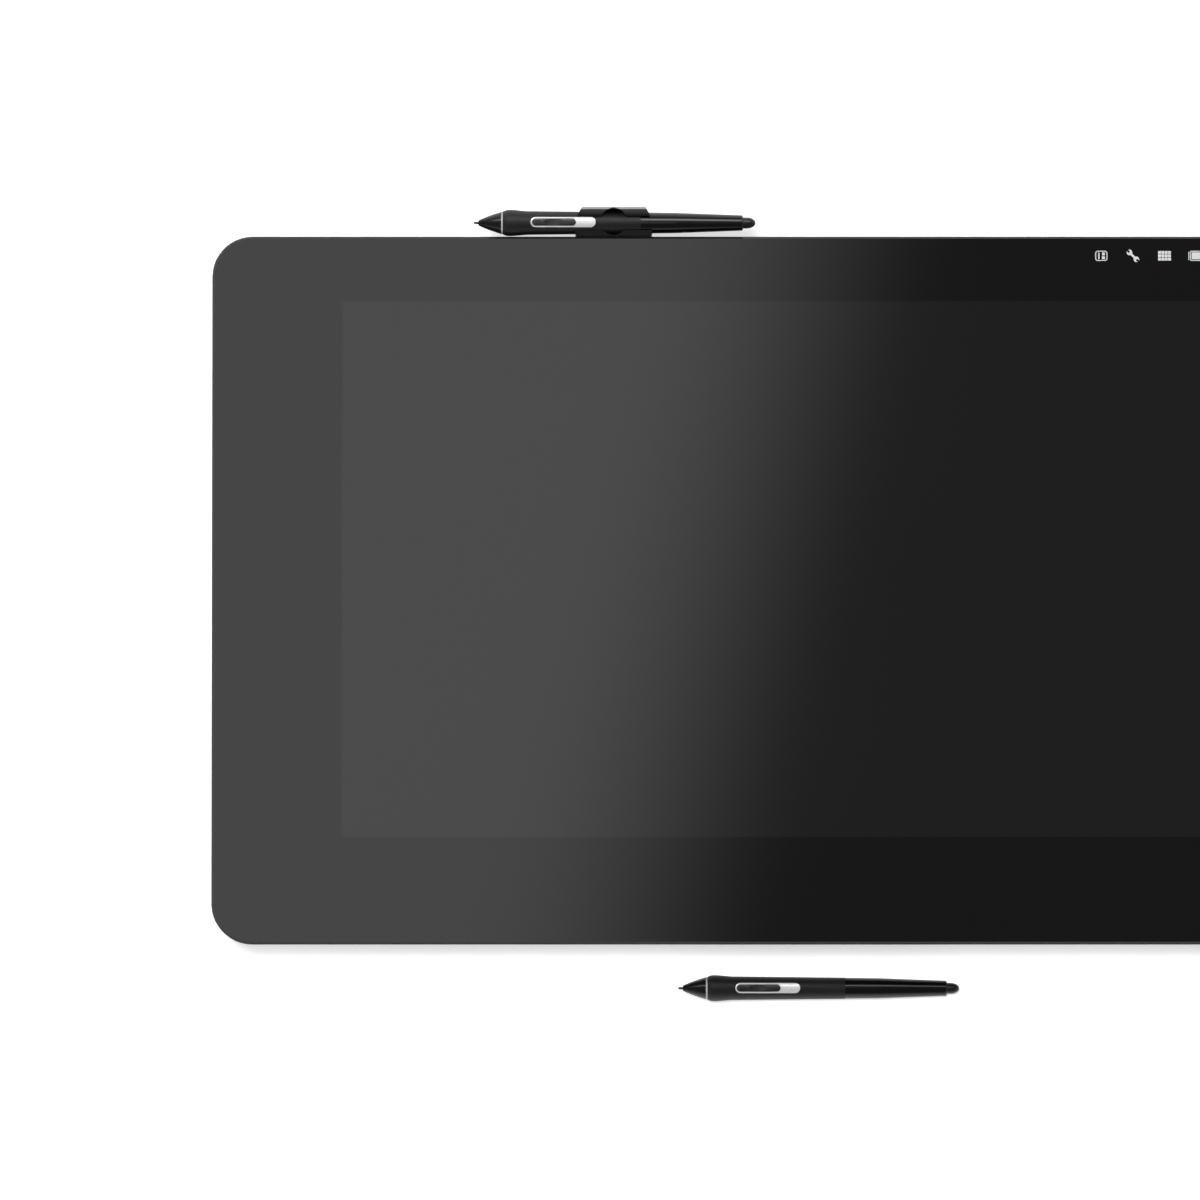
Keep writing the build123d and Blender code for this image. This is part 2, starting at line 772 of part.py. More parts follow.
with BuildPart() as rear_housing:
    loft([inset_outline(0, frame_low), inset_outline(slope_run, foot_height)], ruled=True)
    fillet(rear_housing.faces().sort_by(Axis.Z)[0].edges(), slope_fillet)
    add(housing_hollow.part, mode=CUT)
    # Leg pockets, each with room for a finger at the leg's end, and the holes of the hinge pins
    blocks(leg_pocket_width, leg_pocket_depth, foot_height - overrun, leg_pocket_high, leg_spots, mode=CUT)
    with Locations([across(side * leg_centre_x, leg_hinge_y, leg_axis_high) for side in sides]):
        Cylinder(leg_pin_radius + running_gap, leg_pocket_width + 2 * leg_pin_bite, mode=CUT)
    # Cable well, the way out for the cables and the holes of the door's pin
    block(well_width, well_depth, foot_height - overrun, well_high, y=well_y, mode=CUT)
    block(exit_width, exit_depth + 2 * overrun, foot_height - overrun, exit_high, y=exit_y, mode=CUT)
    with Locations(across(0, door_axis_y, door_axis_high)):
        Cylinder(door_pin_radius + running_gap, well_width + 2 * door_pin_bite, mode=CUT)
    for (width, height), x in zip(input_sizes, input_x):
        block(
            width + 2 * input_fit,
            tub_wall + overrun,
            input_high - height - input_fit,
            input_high + input_fit,
            x=x,
            y=well_near_y - tub_wall / 2,
            mode=CUT,
        )
    # Opening for the service cover, with a ledge all round
    with BuildSketch(level(foot_height, 0, cover_centre_y)) as cover_seat:
        RectangleRounded(cover_width + 2 * cover_gap, cover_depth + 2 * cover_gap, cover_corner + cover_gap)
    extrude(cover_seat.sketch, amount=cover_thickness, mode=CUT)
    with BuildSketch(level(foot_height, 0, cover_centre_y)) as cover_opening:
        RectangleRounded(cover_width - 2 * cover_ledge, cover_depth - 2 * cover_ledge, cover_corner)
    extrude(cover_opening.sketch, amount=cover_frame_thickness + overrun, mode=CUT)
    # Holes for the screws, and seats for the arm-mount bushes and the feet
    posts(screw_hole, foot_height, boss_high + overrun, cover_screw_spots + housing_screw_spots, mode=CUT)
    posts(
        screw_head_radius + screw_hole_gap,
        foot_height - overrun,
        screw_high,
        housing_screw_spots,
        mode=CUT,
    )
    posts(mount_bush_radius, foot_height - overrun, mount_high + overrun, mount_spots, mode=CUT)
    blocks(foot_length, foot_width, foot_height - overrun, foot_high, foot_spots, mode=CUT)
    # Air in under each blower, and out through the slope at the far edge
    blocks(
        fan_inlet_radius * 2 + 2 * vent_slot_width,
        vent_slot_width,
        foot_height - overrun,
        housing_inside + overrun,
        vent_spots,
        mode=CUT,
    )
    blocks(exhaust_slot_width, slope_run, exhaust_low, exhaust_high, exhaust_spots, mode=CUT)
save(rear_housing.part, "rear_housing")

# Chassis plate: carries the display stack on top and the boards and blowers below
main_board_high = main_board_low + board_thickness
main_board_y = well_near_y - tub_wall - main_board_gap - main_board_depth / 2
fan_high = fan_low + fan_height
power_board_high = main_board_high


def corners(width, depth, x=0.0, y=0.0):
    """Four places one post radius inside a plate's corners."""
    across = width / 2 - post_radius
    along = depth / 2 - post_radius
    return [(x + right * across, y + up * along) for right in sides for up in sides]


main_board_posts = corners(main_board_width, main_board_depth, y=main_board_y)
power_board_posts = corners(*power_board_size, x=power_board_x, y=power_board_y)
fan_posts = corners(fan_size, fan_size, fan_x, fan_y) + corners(fan_size, fan_size, -fan_x, fan_y)

with BuildPart() as chassis_plate:
    block(chassis_width, chassis_depth, chassis_low, chassis_high)
    tab_gap = frame_wall + slide_gap
    reach = (half_depth - tab_gap) - chassis_depth / 2
    tab_y = (chassis_depth + reach) / 2
    long_edge_tabs = [(side * x, end * tab_y) for x in chassis_tab_x for side in sides for end in sides]
    blocks(chassis_tab_width, reach, chassis_low, chassis_high, long_edge_tabs)
    reach = (half_width - tab_gap) - chassis_width / 2
    short_edge_tabs = [(side * (chassis_width + reach) / 2, y) for y in chassis_tab_y for side in sides]
    blocks(reach, chassis_tab_width, chassis_low, chassis_high, short_edge_tabs)
    with Locations((0, unit_y, chassis_low)):
        with GridLocations(chassis_width / 6, chassis_depth / 6, 6, 6):
            Box(chassis_relief_width, chassis_relief_depth, chassis_relief_height, align=LOW, mode=CUT)
    posts(post_radius, main_board_high, chassis_high, main_board_posts)
    posts(post_radius, power_board_high, chassis_high, power_board_posts)
    posts(post_radius, fan_high, chassis_high, fan_posts)
    posts(post_radius, boss_high, chassis_high, housing_screw_spots)
    posts(screw_hole, boss_high, screw_high + housing_screw_length + overrun, housing_screw_spots, mode=CUT)
save(chassis_plate.part, "chassis_plate")

# Service cover and the screws
with BuildPart() as service_cover:
    with BuildSketch(level(foot_height, 0, cover_centre_y)) as cover_face:
        RectangleRounded(cover_width, cover_depth, cover_corner)
    extrude(cover_face.sketch, amount=cover_thickness)
    head_hole = screw_head_radius + screw_hole_gap
    posts(screw_hole, foot_height, foot_height + cover_thickness, cover_screw_spots, mode=CUT)
    posts(head_hole, foot_height, foot_height + screw_head_height, cover_screw_spots, mode=CUT)
save(service_cover.part, "service_cover")


def screws(low, length, places):
    """Pan-head screws with their cross recesses facing down, for use inside an open part."""
    posts(screw_head_radius, low, low + screw_head_height, places)
    posts(screw_shank_radius, low, low + screw_head_height + length, places)
    blocks(screw_recess_span, screw_recess_width, low, low + screw_recess_depth, places, mode=CUT)
    blocks(screw_recess_width, screw_recess_span, low, low + screw_recess_depth, places, mode=CUT)


with BuildPart() as cover_screws:
    screws(foot_height, cover_screw_length, cover_screw_spots)
save(cover_screws.part, "cover_screws")

with BuildPart() as housing_screws:
    screws(screw_low, housing_screw_length, housing_screw_spots)
save(housing_screws.part, "housing_screws")

with BuildPart() as arm_mount_bushes:
    posts(mount_bush_radius, foot_height, mount_high, mount_spots)
    posts(mount_thread_radius, foot_height, mount_high, mount_spots, mode=CUT)
save(arm_mount_bushes.part, "arm_mount_bushes")

with BuildPart() as rubber_feet:
    blocks(foot_length, foot_width, 0, foot_high, foot_spots)
    fillet(rubber_feet.faces().filter_by(Axis.Z).group_by(Axis.Z)[0].edges(), foot_fillet)
save(rubber_feet.part, "rubber_feet")

# Hinge pins of the two legs and of the cable door
with BuildPart() as hinge_pins:
    with Locations([across(side * leg_centre_x, leg_hinge_y, leg_axis_high) for side in sides]):
        Cylinder(leg_pin_radius, leg_pocket_width + 2 * (leg_pin_bite - slide_gap))
    with Locations(across(0, door_axis_y, door_axis_high)):
        Cylinder(door_pin_radius, well_width + 2 * (door_pin_bite - slide_gap))
save(hinge_pins.part, "hinge_pins")

# Legs, drawn from the side as a bar with a round eye, hollowed from above
leg_end_y = leg_hinge_y - leg_length
leg_pad_y = leg_end_y + leg_pad_length
leg_middle = foot_height + leg_thickness / 2


def side_plane(x):
    """An upright plane across the unit at x, drawn in y from the unit's centre and height."""
    return Plane(origin=(x, unit_y, 0), x_dir=(0, 1, 0), z_dir=(1, 0, 0))


for side, side_name in ((-1, "left"), (1, "right")):
    leg_x = side * leg_centre_x
    with BuildPart() as leg:
        with BuildSketch(side_plane(leg_x)) as leg_profile:
            with Locations((leg_hinge_y, leg_axis_high)):
                Circle(leg_thickness / 2)
            with Locations(((leg_pad_y + leg_hinge_y) / 2, leg_middle)):
                Rectangle(leg_hinge_y - leg_pad_y, leg_thickness)
            with Locations((leg_pad_y + leg_pad_tongue / 2, leg_middle)):
                Rectangle(leg_pad_tongue, leg_pad_tongue_thickness, mode=CUT)
            with Locations((leg_hinge_y, leg_axis_high)):
                Circle(leg_pin_radius + running_gap, mode=CUT)
        extrude(leg_profile.sketch, amount=leg_width / 2, both=True)
        hollow_near = leg_pad_y + leg_pad_tongue + leg_rib
        hollow_length = leg_hinge_y - leg_thickness / 2 - leg_rib - hollow_near
        cell = (hollow_length + leg_rib) / leg_pocket_count
        blocks(
            leg_width - 2 * leg_rib,
            cell - leg_rib,
            foot_height + leg_skin,
            foot_height + leg_thickness + overrun,
            [(leg_x, hollow_near + cell * place + (cell - leg_rib) / 2) for place in range(leg_pocket_count)],
            mode=CUT,
        )
    save(leg.part, f"leg_{side_name}")

    with BuildPart() as leg_pad:
        with BuildSketch(side_plane(leg_x)) as pad_profile:
            with Locations(((leg_end_y + leg_pad_y) / 2, leg_middle)):
                Rectangle(leg_pad_length, leg_thickness)
            fillet(pad_profile.vertices().group_by(Axis.Y)[0], leg_pad_fillet)
            with Locations((leg_pad_y + leg_pad_tongue / 2, leg_middle)):
                Rectangle(leg_pad_tongue, leg_pad_tongue_thickness)
        extrude(pad_profile.sketch, amount=leg_width / 2, both=True)
    save(leg_pad.part, f"leg_pad_{side_name}")

# Cable door, hinged at the near side of the well, with two ribs inside
door_near_y = well_near_y + door_gap
door_far_y = well_far_y - door_gap
with BuildPart() as cable_door:
    with BuildSketch(side_plane(0)) as door_profile:
        with Locations(((door_axis_y + door_far_y) / 2, foot_height + door_thickness / 2)):
            Rectangle(door_far_y - door_axis_y, door_thickness)
        with Locations((door_axis_y, door_axis_high)):
            Circle(door_barrel_radius)
            Circle(door_pin_radius + running_gap, mode=CUT)
    extrude(door_profile.sketch, amount=well_width / 2 - door_gap, both=True)
    for share in (1 / 3, 2 / 3):
        block(
            well_width - 2 * tub_wall,
            door_rib_width,
            foot_height + door_thickness / 2,
            foot_height + door_thickness + door_rib_height,
            y=door_near_y + (door_far_y - door_near_y) * share,
        )
save(cable_door.part, "cable_door")

# Main board with its chips and heat sink, and the power board
with BuildPart() as main_board:
    block(main_board_width, main_board_depth, main_board_low, main_board_high, y=main_board_y)
save(main_board.part, "main_board")

with BuildPart() as power_board:
    block(*power_board_size, main_board_low, power_board_high, x=power_board_x, y=power_board_y)
save(power_board.part, "power_board")

chip_high = main_board_high + chip_size[2]
memory_y = main_board_y - sink_size[1] / 2 - memory_size[1]
memory_spots = [(x, memory_y) for x in row(memory_count, memory_pitch)]
coil_x = power_board_x - power_board_size[0] / 2 + coil_size[0]
capacitor_x = coil_x + coil_size[0] / 2 + 2 * capacitor_radius
capacitor_spots = [(capacitor_x + place * capacitor_pitch, power_board_y) for place in range(capacitor_count)]
with BuildPart() as board_chips:
    block(chip_size[0], chip_size[1], main_board_high, chip_high, y=main_board_y)
    blocks(memory_size[0], memory_size[1], main_board_high, main_board_high + memory_size[2], memory_spots)
    coil_high = power_board_high + coil_size[2]
    block(coil_size[0], coil_size[1], power_board_high, coil_high, x=coil_x, y=power_board_y)
    posts(capacitor_radius, power_board_high, power_board_high + capacitor_height, capacitor_spots)
save(board_chips.part, "board_chips")

fin_pitch = (sink_size[0] - sink_fin_thickness) / (sink_fin_count - 1)
fin_spots = [(x, main_board_y) for x in row(sink_fin_count, fin_pitch)]
with BuildPart() as heat_sink:
    block(*sink_size, chip_high, chip_high + sink_base, y=main_board_y)
    blocks(sink_fin_thickness, sink_size[1], chip_high, chip_high + sink_base + sink_fin_height, fin_spots)
save(heat_sink.part, "heat_sink")

# Boards behind the side walls, with the sockets on them
port_board_x = half_width - frame_wall - port_board_setback - port_board_depth / 2
port_board_low = usb_low - board_thickness
port_face = half_width - port_setback
with BuildPart() as side_port_boards:
    blocks(
        port_board_depth,
        port_board_y[1] - port_board_y[0],
        port_board_low,
        usb_low,
        [(side * port_board_x, (port_board_y[0] + port_board_y[1]) / 2) for side in sides],
    )
save(side_port_boards.part, "side_port_boards")

with BuildPart() as usb_sockets:
    usb_spots = [(side * (port_face - usb_depth / 2), y) for side in sides for y in usb_y]
    blocks(usb_depth, usb_size[0], usb_low, usb_low + usb_size[1], usb_spots)
    mouth_spots = [(side * (port_face - usb_depth / 2 + usb_wall), y) for side in sides for y in usb_y]
    blocks(
        usb_depth,
        usb_size[0] - 2 * usb_wall,
        usb_low + usb_wall,
        usb_low + usb_size[1] - usb_wall,
        mouth_spots,
        mode=CUT,
    )
    tongue_x = port_face - (usb_depth + usb_tongue_setback) / 2
    tongue_spots = [(side * tongue_x, y) for side in sides for y in usb_y]
    tongue_high = usb_low + usb_size[1] - usb_wall - usb_tongue_drop
    tongue_low = tongue_high - usb_tongue_thickness
    blocks(usb_depth - usb_tongue_setback, usb_tongue_width, tongue_low, tongue_high, tongue_spots)
save(usb_sockets.part, "usb_sockets")

with BuildPart() as card_socket:
    card_x = -(port_face - card_depth / 2)
    block(card_depth, card_size[0], usb_low, usb_low + card_size[1], x=card_x, y=card_y)
    card_middle = usb_low + card_size[1] / 2
    block(
        card_depth,
        card_slot[0],
        card_middle - card_slot[1] / 2,
        card_middle + card_slot[1] / 2,
        x=card_x - card_size[1] / 2,
        y=card_y,
        mode=CUT,
    )
save(card_socket.part, "card_socket")

with BuildPart() as audio_jack:
    jack_x = half_width - frame_wall - port_gap - jack_depth / 2
    block(jack_depth, jack_size[0], usb_low, usb_low + jack_size[1], x=jack_x, y=jack_y)
    with Locations(across(port_face, jack_y, usb_low + jack_size[1] / 2)):
        Cylinder(jack_hole_radius + usb_wall, frame_wall + 2 * port_setback, align=HIGH)
        Cylinder(jack_hole_radius, jack_depth, align=HIGH, mode=CUT)
save(audio_jack.part, "audio_jack")

# Power, picture and data sockets that face into the cable well
input_y = well_near_y - port_setback - input_depth / 2
with BuildPart() as input_sockets:
    for (width, height), x in zip(input_sizes, input_x):
        block(width, input_depth, input_high - height, input_high, x=x, y=input_y)
    for (width, height), x in zip(input_sizes[1:], input_x[1:]):
        block(
            width - 2 * input_wall,
            input_depth,
            input_high - height + input_wall,
            input_high - input_wall,
            x=x,
            y=input_y + input_wall,
            mode=CUT,
        )
        middle = input_high - height / 2
        block(
            width - input_tongue_fall - 2 * input_wall,
            input_depth - input_tongue_fall,
            middle - input_tongue / 2,
            middle + input_tongue / 2,
            x=x,
            y=input_y - input_tongue_fall / 2,
        )
    jack_face_y = unit_y + input_y + input_depth / 2
    jack_face = Plane(origin=(input_x[0], jack_face_y, input_high - power_jack_size[1] / 2), z_dir=(0, 1, 0))
    with Locations(jack_face):
        Cylinder(power_jack_bore, input_depth - input_wall, align=HIGH, mode=CUT)
        Cylinder(power_jack_pin, input_depth, align=HIGH)
save(input_sockets.part, "input_sockets")

# Blowers: air comes in from below and leaves towards the far edge
chamber_low = fan_low + fan_floor
chamber_high = fan_high - fan_wall
rotor_low = chamber_low + fan_rotor_gap
rotor_high = chamber_high - fan_rotor_gap
with BuildPart() as fan_housings:
    blocks(fan_size, fan_size, fan_low, fan_high, fan_spots)
    fillet(fan_housings.edges().filter_by(Axis.Z), post_radius)
    posts(fan_chamber_radius, chamber_low, chamber_high, fan_spots, mode=CUT)
    outlet_spots = [(x, y + fan_size / 4) for x, y in fan_spots]
    blocks(2 * fan_blade_radius, fan_size / 2, chamber_low, chamber_high, outlet_spots, mode=CUT)
    posts(fan_inlet_radius, fan_low - overrun, fan_high - fan_wall, fan_spots, mode=CUT)
    posts(fan_axle_radius, rotor_low, chamber_high, fan_spots)
save(fan_housings.part, "fan_housings")

for side, side_name in ((-1, "left"), (1, "right")):
    with BuildPart() as fan_rotor:
        posts(fan_hub_radius, rotor_low, rotor_high, [(side * fan_x, fan_y)])
        blade = (fan_blade_radius - fan_blade_root, fan_blade_thickness, rotor_high - rotor_low)
        with Locations((side * fan_x, unit_y + fan_y, rotor_low)):
            with PolarLocations((fan_blade_root + fan_blade_radius) / 2, fan_blade_count):
                Box(*blade, rotation=(0, 0, fan_blade_sweep), align=LOW)
        posts(
            fan_axle_radius + running_gap,
            rotor_low - overrun,
            rotor_high + overrun,
            [(side * fan_x, fan_y)],
            mode=CUT,
        )
    save(fan_rotor.part, f"fan_rotor_{side_name}")

# Power button, touch switch and the board behind them
wall_inside = frame_wall + running_gap


def far_wall_slab(x, length, height, outer, thickness):
    """A round-ended slab parallel to the far wall, from a depth inside its outer face."""
    with BuildSketch(far_wall(x, control_height).offset(outer)) as outline:
        RectangleRounded(length, height, height / 2 - running_gap)
    extrude(outline.sketch, amount=-thickness)


with BuildPart() as power_button:
    far_wall_slab(button_x, button_length, button_height, button_proud, button_proud + wall_inside)
    far_wall_slab(
        button_x,
        button_length + 2 * button_flange,
        button_height + 2 * button_flange,
        -wall_inside,
        button_flange_thickness,
    )
save(power_button.part, "power_button")

knob_x = switch_x - (switch_slot_length - switch_knob_length) / 2
with BuildPart() as touch_switch:
    far_wall_slab(knob_x, switch_knob_length, switch_knob_height, button_proud, button_proud + wall_inside)
    far_wall_slab(
        knob_x,
        switch_knob_length + 2 * button_flange,
        switch_knob_height + 2 * button_flange,
        -wall_inside,
        button_flange_thickness,
    )
    with Locations(far_wall(knob_x, control_height).offset(button_proud)):
        with GridLocations(switch_ridge_pitch, switch_knob_height, switch_ridge_count, 1):
            Box(switch_ridge_width, switch_knob_height - 2 * switch_ridge_width, 2 * switch_ridge_depth)
save(touch_switch.part, "touch_switch")

control_board_high = flange_high + control_board_height
with BuildPart() as control_board:
    control_x = (button_x + switch_x) / 2
    block(
        control_board_length,
        control_board_thickness,
        flange_high,
        control_board_high,
        x=control_x,
        y=control_board_y - control_board_thickness / 2,
    )
    for x in (button_x, switch_x):
        block(
            tact_body[0],
            tact_body[2],
            control_height - tact_body[1] / 2,
            control_height + tact_body[1] / 2,
            x=x,
            y=control_board_y + tact_body[2] / 2,
        )
save(control_board.part, "control_board")

# Pens, drawn lying along X with the tip at the origin and the side switch facing up
ring_end = ring_start + ring_length
core_radius = grip_end_radius - pen_skin - core_gap
bore_radius = core_radius + core_gap
core_start = cone_cavity_station + core_clearance
cone_middle = (cone_start + ring_start) / 2
rocker_x = rocker_start + rocker_length / 2
rocker_y_size = bezel_width - 2 * bezel_rim - 2 * rocker_gap
rocker_dip = rocker_length / 2 * sin(radians(rocker_swing))
rocker_bottom = rocker_seat + rocker_dip + core_clearance
rocker_pivot_high = (rocker_seat + rocker_bottom) / 2
eraser_well_station = eraser_root_station - eraser_travel - core_clearance
eraser_dome_start = pen_length - eraser_dome_length
grip_slope = (waist_radius - grip_end_radius) / (grip_end_station - waist_station)
grip_radius_at_rocker = waist_radius - grip_slope * (rocker_x - waist_station)
bezel_x = bezel_start + bezel_length / 2


def spun(outline, mode=Mode.ADD):
    """Turns a half profile, drawn as station and radius, about the pen's own axis."""
    return revolve(outline.sketch, axis=Axis.X, mode=mode)


def rod(radius, start, end, mode=Mode.ADD):
    """Adds or cuts a cylinder along the pen between two stations."""
    with Locations(Plane(origin=(start, 0, 0), z_dir=(1, 0, 0))):
        Cylinder(radius, end - start, align=LOW, mode=mode)


def stadium(length, width, x, low, high, mode=Mode.ADD):
    """Adds or cuts an upright slab with round ends on the pen's top side."""
    with BuildSketch(Plane(origin=(x, 0, low), z_dir=(0, 0, 1))) as outline:
        SlotOverall(length, width)
    extrude(outline.sketch, amount=high - low, mode=mode)


def grip_line(extra=0.0):
    """The grip's outline from its crest to its tail end, grown by a clearance."""
    Spline(
        (crest_station, crest_radius + extra),
        (waist_station, waist_radius + extra),
        tangents=((1, 0), (1, -grip_slope)),
    )
    Line((waist_station, waist_radius + extra), (grip_end_station, grip_end_radius + extra))


def keep_under_skin(proud):
    """Trims the piece being built to the grip's own shape, raised by that much."""
    with BuildSketch(Plane.XY) as outline:
        with BuildLine():
            grip_line(proud)
            Polyline(
                (grip_end_station, grip_end_radius + proud),
                (grip_end_station, 0),
                (crest_station, 0),
                (crest_station, crest_radius + proud),
            )
        make_face()
    spun(outline, mode=Mode.INTERSECT)


def pen_pieces():
    """The nine pieces of one pen, by name."""
    with BuildPart() as nib:
        rod(nib_radius, nib_radius, nib_length)
        with Locations((nib_radius, 0, 0)):
            Sphere(nib_radius)

    with BuildPart() as cone:
        with BuildSketch(Plane.XY) as outline:
            with BuildLine():
                middle_radius = (cone_start_radius + ring_radius) / 2 + cone_bulge
                ThreePointArc(
                    (cone_start, cone_start_radius),
                    (cone_middle, middle_radius),
                    (ring_start, ring_radius - sheet_gap),
                )
                Polyline(
                    (ring_start, ring_radius - sheet_gap),
                    (ring_start, 0),
                    (cone_start, 0),
                    (cone_start, cone_start_radius),
                )
            make_face()
        spun(outline)
        rod(nib_radius + nib_gap, 0, ring_start, mode=CUT)
        rod(bore_radius, cone_cavity_station, ring_start, mode=CUT)

    with BuildPart() as ring:
        rod(ring_radius, ring_start, ring_end)
        rod(bore_radius, ring_start, ring_end, mode=CUT)

    with BuildPart() as grip:
        with BuildSketch(Plane.XY) as outline:
            with BuildLine():
                TangentArc((crest_station, crest_radius), (ring_end, ring_radius), tangent=(-1, 0))
                grip_line()
                Polyline(
                    (grip_end_station, grip_end_radius),
                    (grip_end_station, bore_radius),
                    (ring_end, bore_radius),
                    (ring_end, ring_radius),
                )
            make_face()
        spun(outline)
        stadium(bezel_length + 2 * bezel_fit, bezel_width + 2 * bezel_fit, bezel_x, 0, crest_radius, mode=CUT)

    with BuildPart() as barrel:
        with BuildSketch(Plane.XY) as outline:
            Polygon(
                (grip_end_station, grip_end_radius),
                (shoulder_station, shoulder_radius),
                (barrel_end_station, barrel_end_radius),
                (barrel_end_station, 0),
                (grip_end_station, 0),
                align=None,
            )
        spun(outline)
        fillet(barrel.edges().filter_by(GeomType.CIRCLE).sort_by(Axis.X)[-1], barrel_end_radius / 6)
        rod(bore_radius, grip_end_station, core_end_station + core_clearance, mode=CUT)
        rod(eraser_radius + eraser_gap, eraser_well_station, barrel_end_station, mode=CUT)

    with BuildPart() as eraser:
        with BuildSketch(Plane.XY) as outline:
            with BuildLine():
                EllipticalCenterArc((eraser_dome_start, 0), eraser_dome_length, eraser_radius)
                Polyline(
                    (eraser_dome_start, eraser_radius),
                    (eraser_root_station, eraser_radius),
                    (eraser_root_station, 0),
                    (pen_length, 0),
                )
            make_face()
        spun(outline)

    with BuildPart() as bezel:
        stadium(bezel_length, bezel_width, bezel_x, rocker_seat, crest_radius)
        keep_under_skin(bezel_proud)
        stadium(
            rocker_length + 2 * rocker_gap,
            rocker_y_size + 2 * rocker_gap,
            rocker_x,
            rocker_seat,
            crest_radius,
            mode=CUT,
        )

    with BuildPart() as core:
        rod(core_radius, core_start, core_end_station)
        rod(nib_radius + nib_gap, core_start, nib_length + nib_travel + core_clearance, mode=CUT)

    with BuildPart() as rocker:
        stadium(rocker_length, rocker_y_size, rocker_x, rocker_bottom, crest_radius)
        keep_under_skin(rocker_proud)
        with Locations((rocker_x, 0, rocker_pivot_high + running_gap)):
            Box(rocker_foot_length, rocker_y_size / 2, rocker_bottom - rocker_seat + running_gap)
        groove_high = grip_radius_at_rocker + rocker_proud - rocker_groove_depth + rocker_groove_radius
        with Locations(Plane(origin=(rocker_x, 0, groove_high), z_dir=(0, 1, 0))):
            Cylinder(rocker_groove_radius, bezel_width, mode=CUT)

    return {
        "nib": nib.part,
        "cone": cone.part,
        "ring": ring.part,
        "grip": grip.part,
        "barrel": barrel.part,
        "eraser": eraser.part,
        "bezel": bezel.part,
        "core": core.part,
        "rocker": rocker.part,
    }


# One pen lies level in the clip. The other rests on the desk on its crest and its shoulder.
docked_pen_y = far_y + docked_pen_offset
loose_pen_y = near_y - loose_pen_offset
loose_tilt = atan((crest_radius - shoulder_radius) / (shoulder_station - crest_station))
loose_tip_high = crest_radius * cos(loose_tilt) + crest_station * sin(loose_tilt) + running_gap
pen_places = {
    "docked_pen": Location((docked_tip_x, docked_pen_y, docked_pen_height)),
    "loose_pen": Location((loose_tip_x, loose_pen_y, loose_tip_high), (0, degrees(loose_tilt), 0)),
}
one_pen = pen_pieces()
for pen_name, place in pen_places.items():
    for piece_name, piece in one_pen.items():
        save(piece.moved(place), f"{pen_name}_{piece_name}")

# Pen clip: a block with a C-shaped channel that the pen slides out of endways, a round well
# for standing a pen up, and a tongue that goes through a window in the side frame
clip_near = far_y + clip_edge_gap
clip_far = far_y + clip_depth
clip_high = docked_pen_height + clip_back_rise
clip_front_high = docked_pen_height + clip_front_rise
clip_lip_high = docked_pen_height + clip_lip_rise
mouth_near = docked_pen_offset - clip_mouth_front
mouth_far = docked_pen_offset + clip_mouth_back
rim_near = clip_depth - clip_rim_thickness
well_middle = half_depth + (clip_edge_gap + clip_depth) / 2
liner_low = clip_low + clip_well_floor

# The room that the docked pen needs, a clearance larger than the pen's own outline
with BuildPart(Plane.XY) as pen_room:
    with BuildSketch(Plane.XY) as room_outline:
        with BuildLine():
            grip_line(clip_pen_gap)
            Polyline(
                (grip_end_station, grip_end_radius + clip_pen_gap),
                (shoulder_station, shoulder_radius + clip_pen_gap),
                (shoulder_station, 0),
                (crest_station, 0),
                (crest_station, crest_radius + clip_pen_gap),
            )
        make_face()
    spun(room_outline)

with BuildPart() as pen_clip:
    with BuildSketch(Plane.XY.offset(clip_low)) as clip_plan:
        Polygon(
            (clip_x - clip_width / 2, clip_near),
            (clip_x + clip_width / 2, clip_near),
            (clip_x + clip_width / 2, far_y + mouth_near),
            (clip_x + clip_shoulder_width / 2, clip_far - clip_rim_corner),
            (clip_x + clip_rim_width / 2, clip_far),
            (clip_x - clip_rim_width / 2, clip_far),
            (clip_x - clip_shoulder_width / 2, clip_far - clip_rim_corner),
            (clip_x - clip_width / 2, far_y + mouth_near),
            align=None,
        )
    extrude(clip_plan.sketch, amount=clip_high - clip_low)
    fillet(pen_clip.edges().filter_by(Axis.Z), clip_fillet)
    fillet(pen_clip.faces().sort_by(Axis.Z)[0].edges(), clip_fillet)
    # The front lip is low, and the back lip slopes up to a narrow rim
    with BuildSketch(Plane(origin=(clip_x, far_y, 0), x_dir=(0, 1, 0), z_dir=(1, 0, 0))) as above:
        Polygon(
            (-overrun, clip_front_high),
            (mouth_near, clip_front_high),
            (mouth_near, docked_pen_height),
            (mouth_far, docked_pen_height),
            (mouth_far, clip_lip_high),
            (rim_near, clip_high),
            (rim_near, clip_high + overrun),
            (-overrun, clip_high + overrun),
            align=None,
        )
    extrude(above.sketch, amount=clip_width, both=True, mode=CUT)
    add(pen_room.part.moved(pen_places["docked_pen"]), mode=CUT)
    posts(clip_well_radius, liner_low, clip_high + overrun, [(clip_x, well_middle)], mode=CUT)
    block(
        clip_notch_width,
        2 * clip_rim_thickness,
        clip_high - clip_rim_thickness,
        clip_high + overrun,
        x=clip_x,
        y=half_depth + clip_depth,
        mode=CUT,
    )
    block(
        clip_tongue_width,
        clip_tongue_length + clip_edge_gap + running_gap,
        clip_tongue_height - clip_tongue_thickness / 2,
        clip_tongue_height + clip_tongue_thickness / 2,
        x=clip_x,
        y=half_depth + (clip_edge_gap + running_gap - clip_tongue_length) / 2,
    )
save(pen_clip.part, "pen_clip")

with BuildPart() as clip_liner:
    posts(clip_well_radius - sheet_gap, liner_low, liner_low + clip_liner_thickness, [(clip_x, well_middle)])
save(clip_liner.part, "clip_liner")
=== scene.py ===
import bmesh
import bpy
import json
from math import atan2, cos, pi, radians, sin
from mathutils import Matrix, Vector
from mathutils.bvhtree import BVHTree


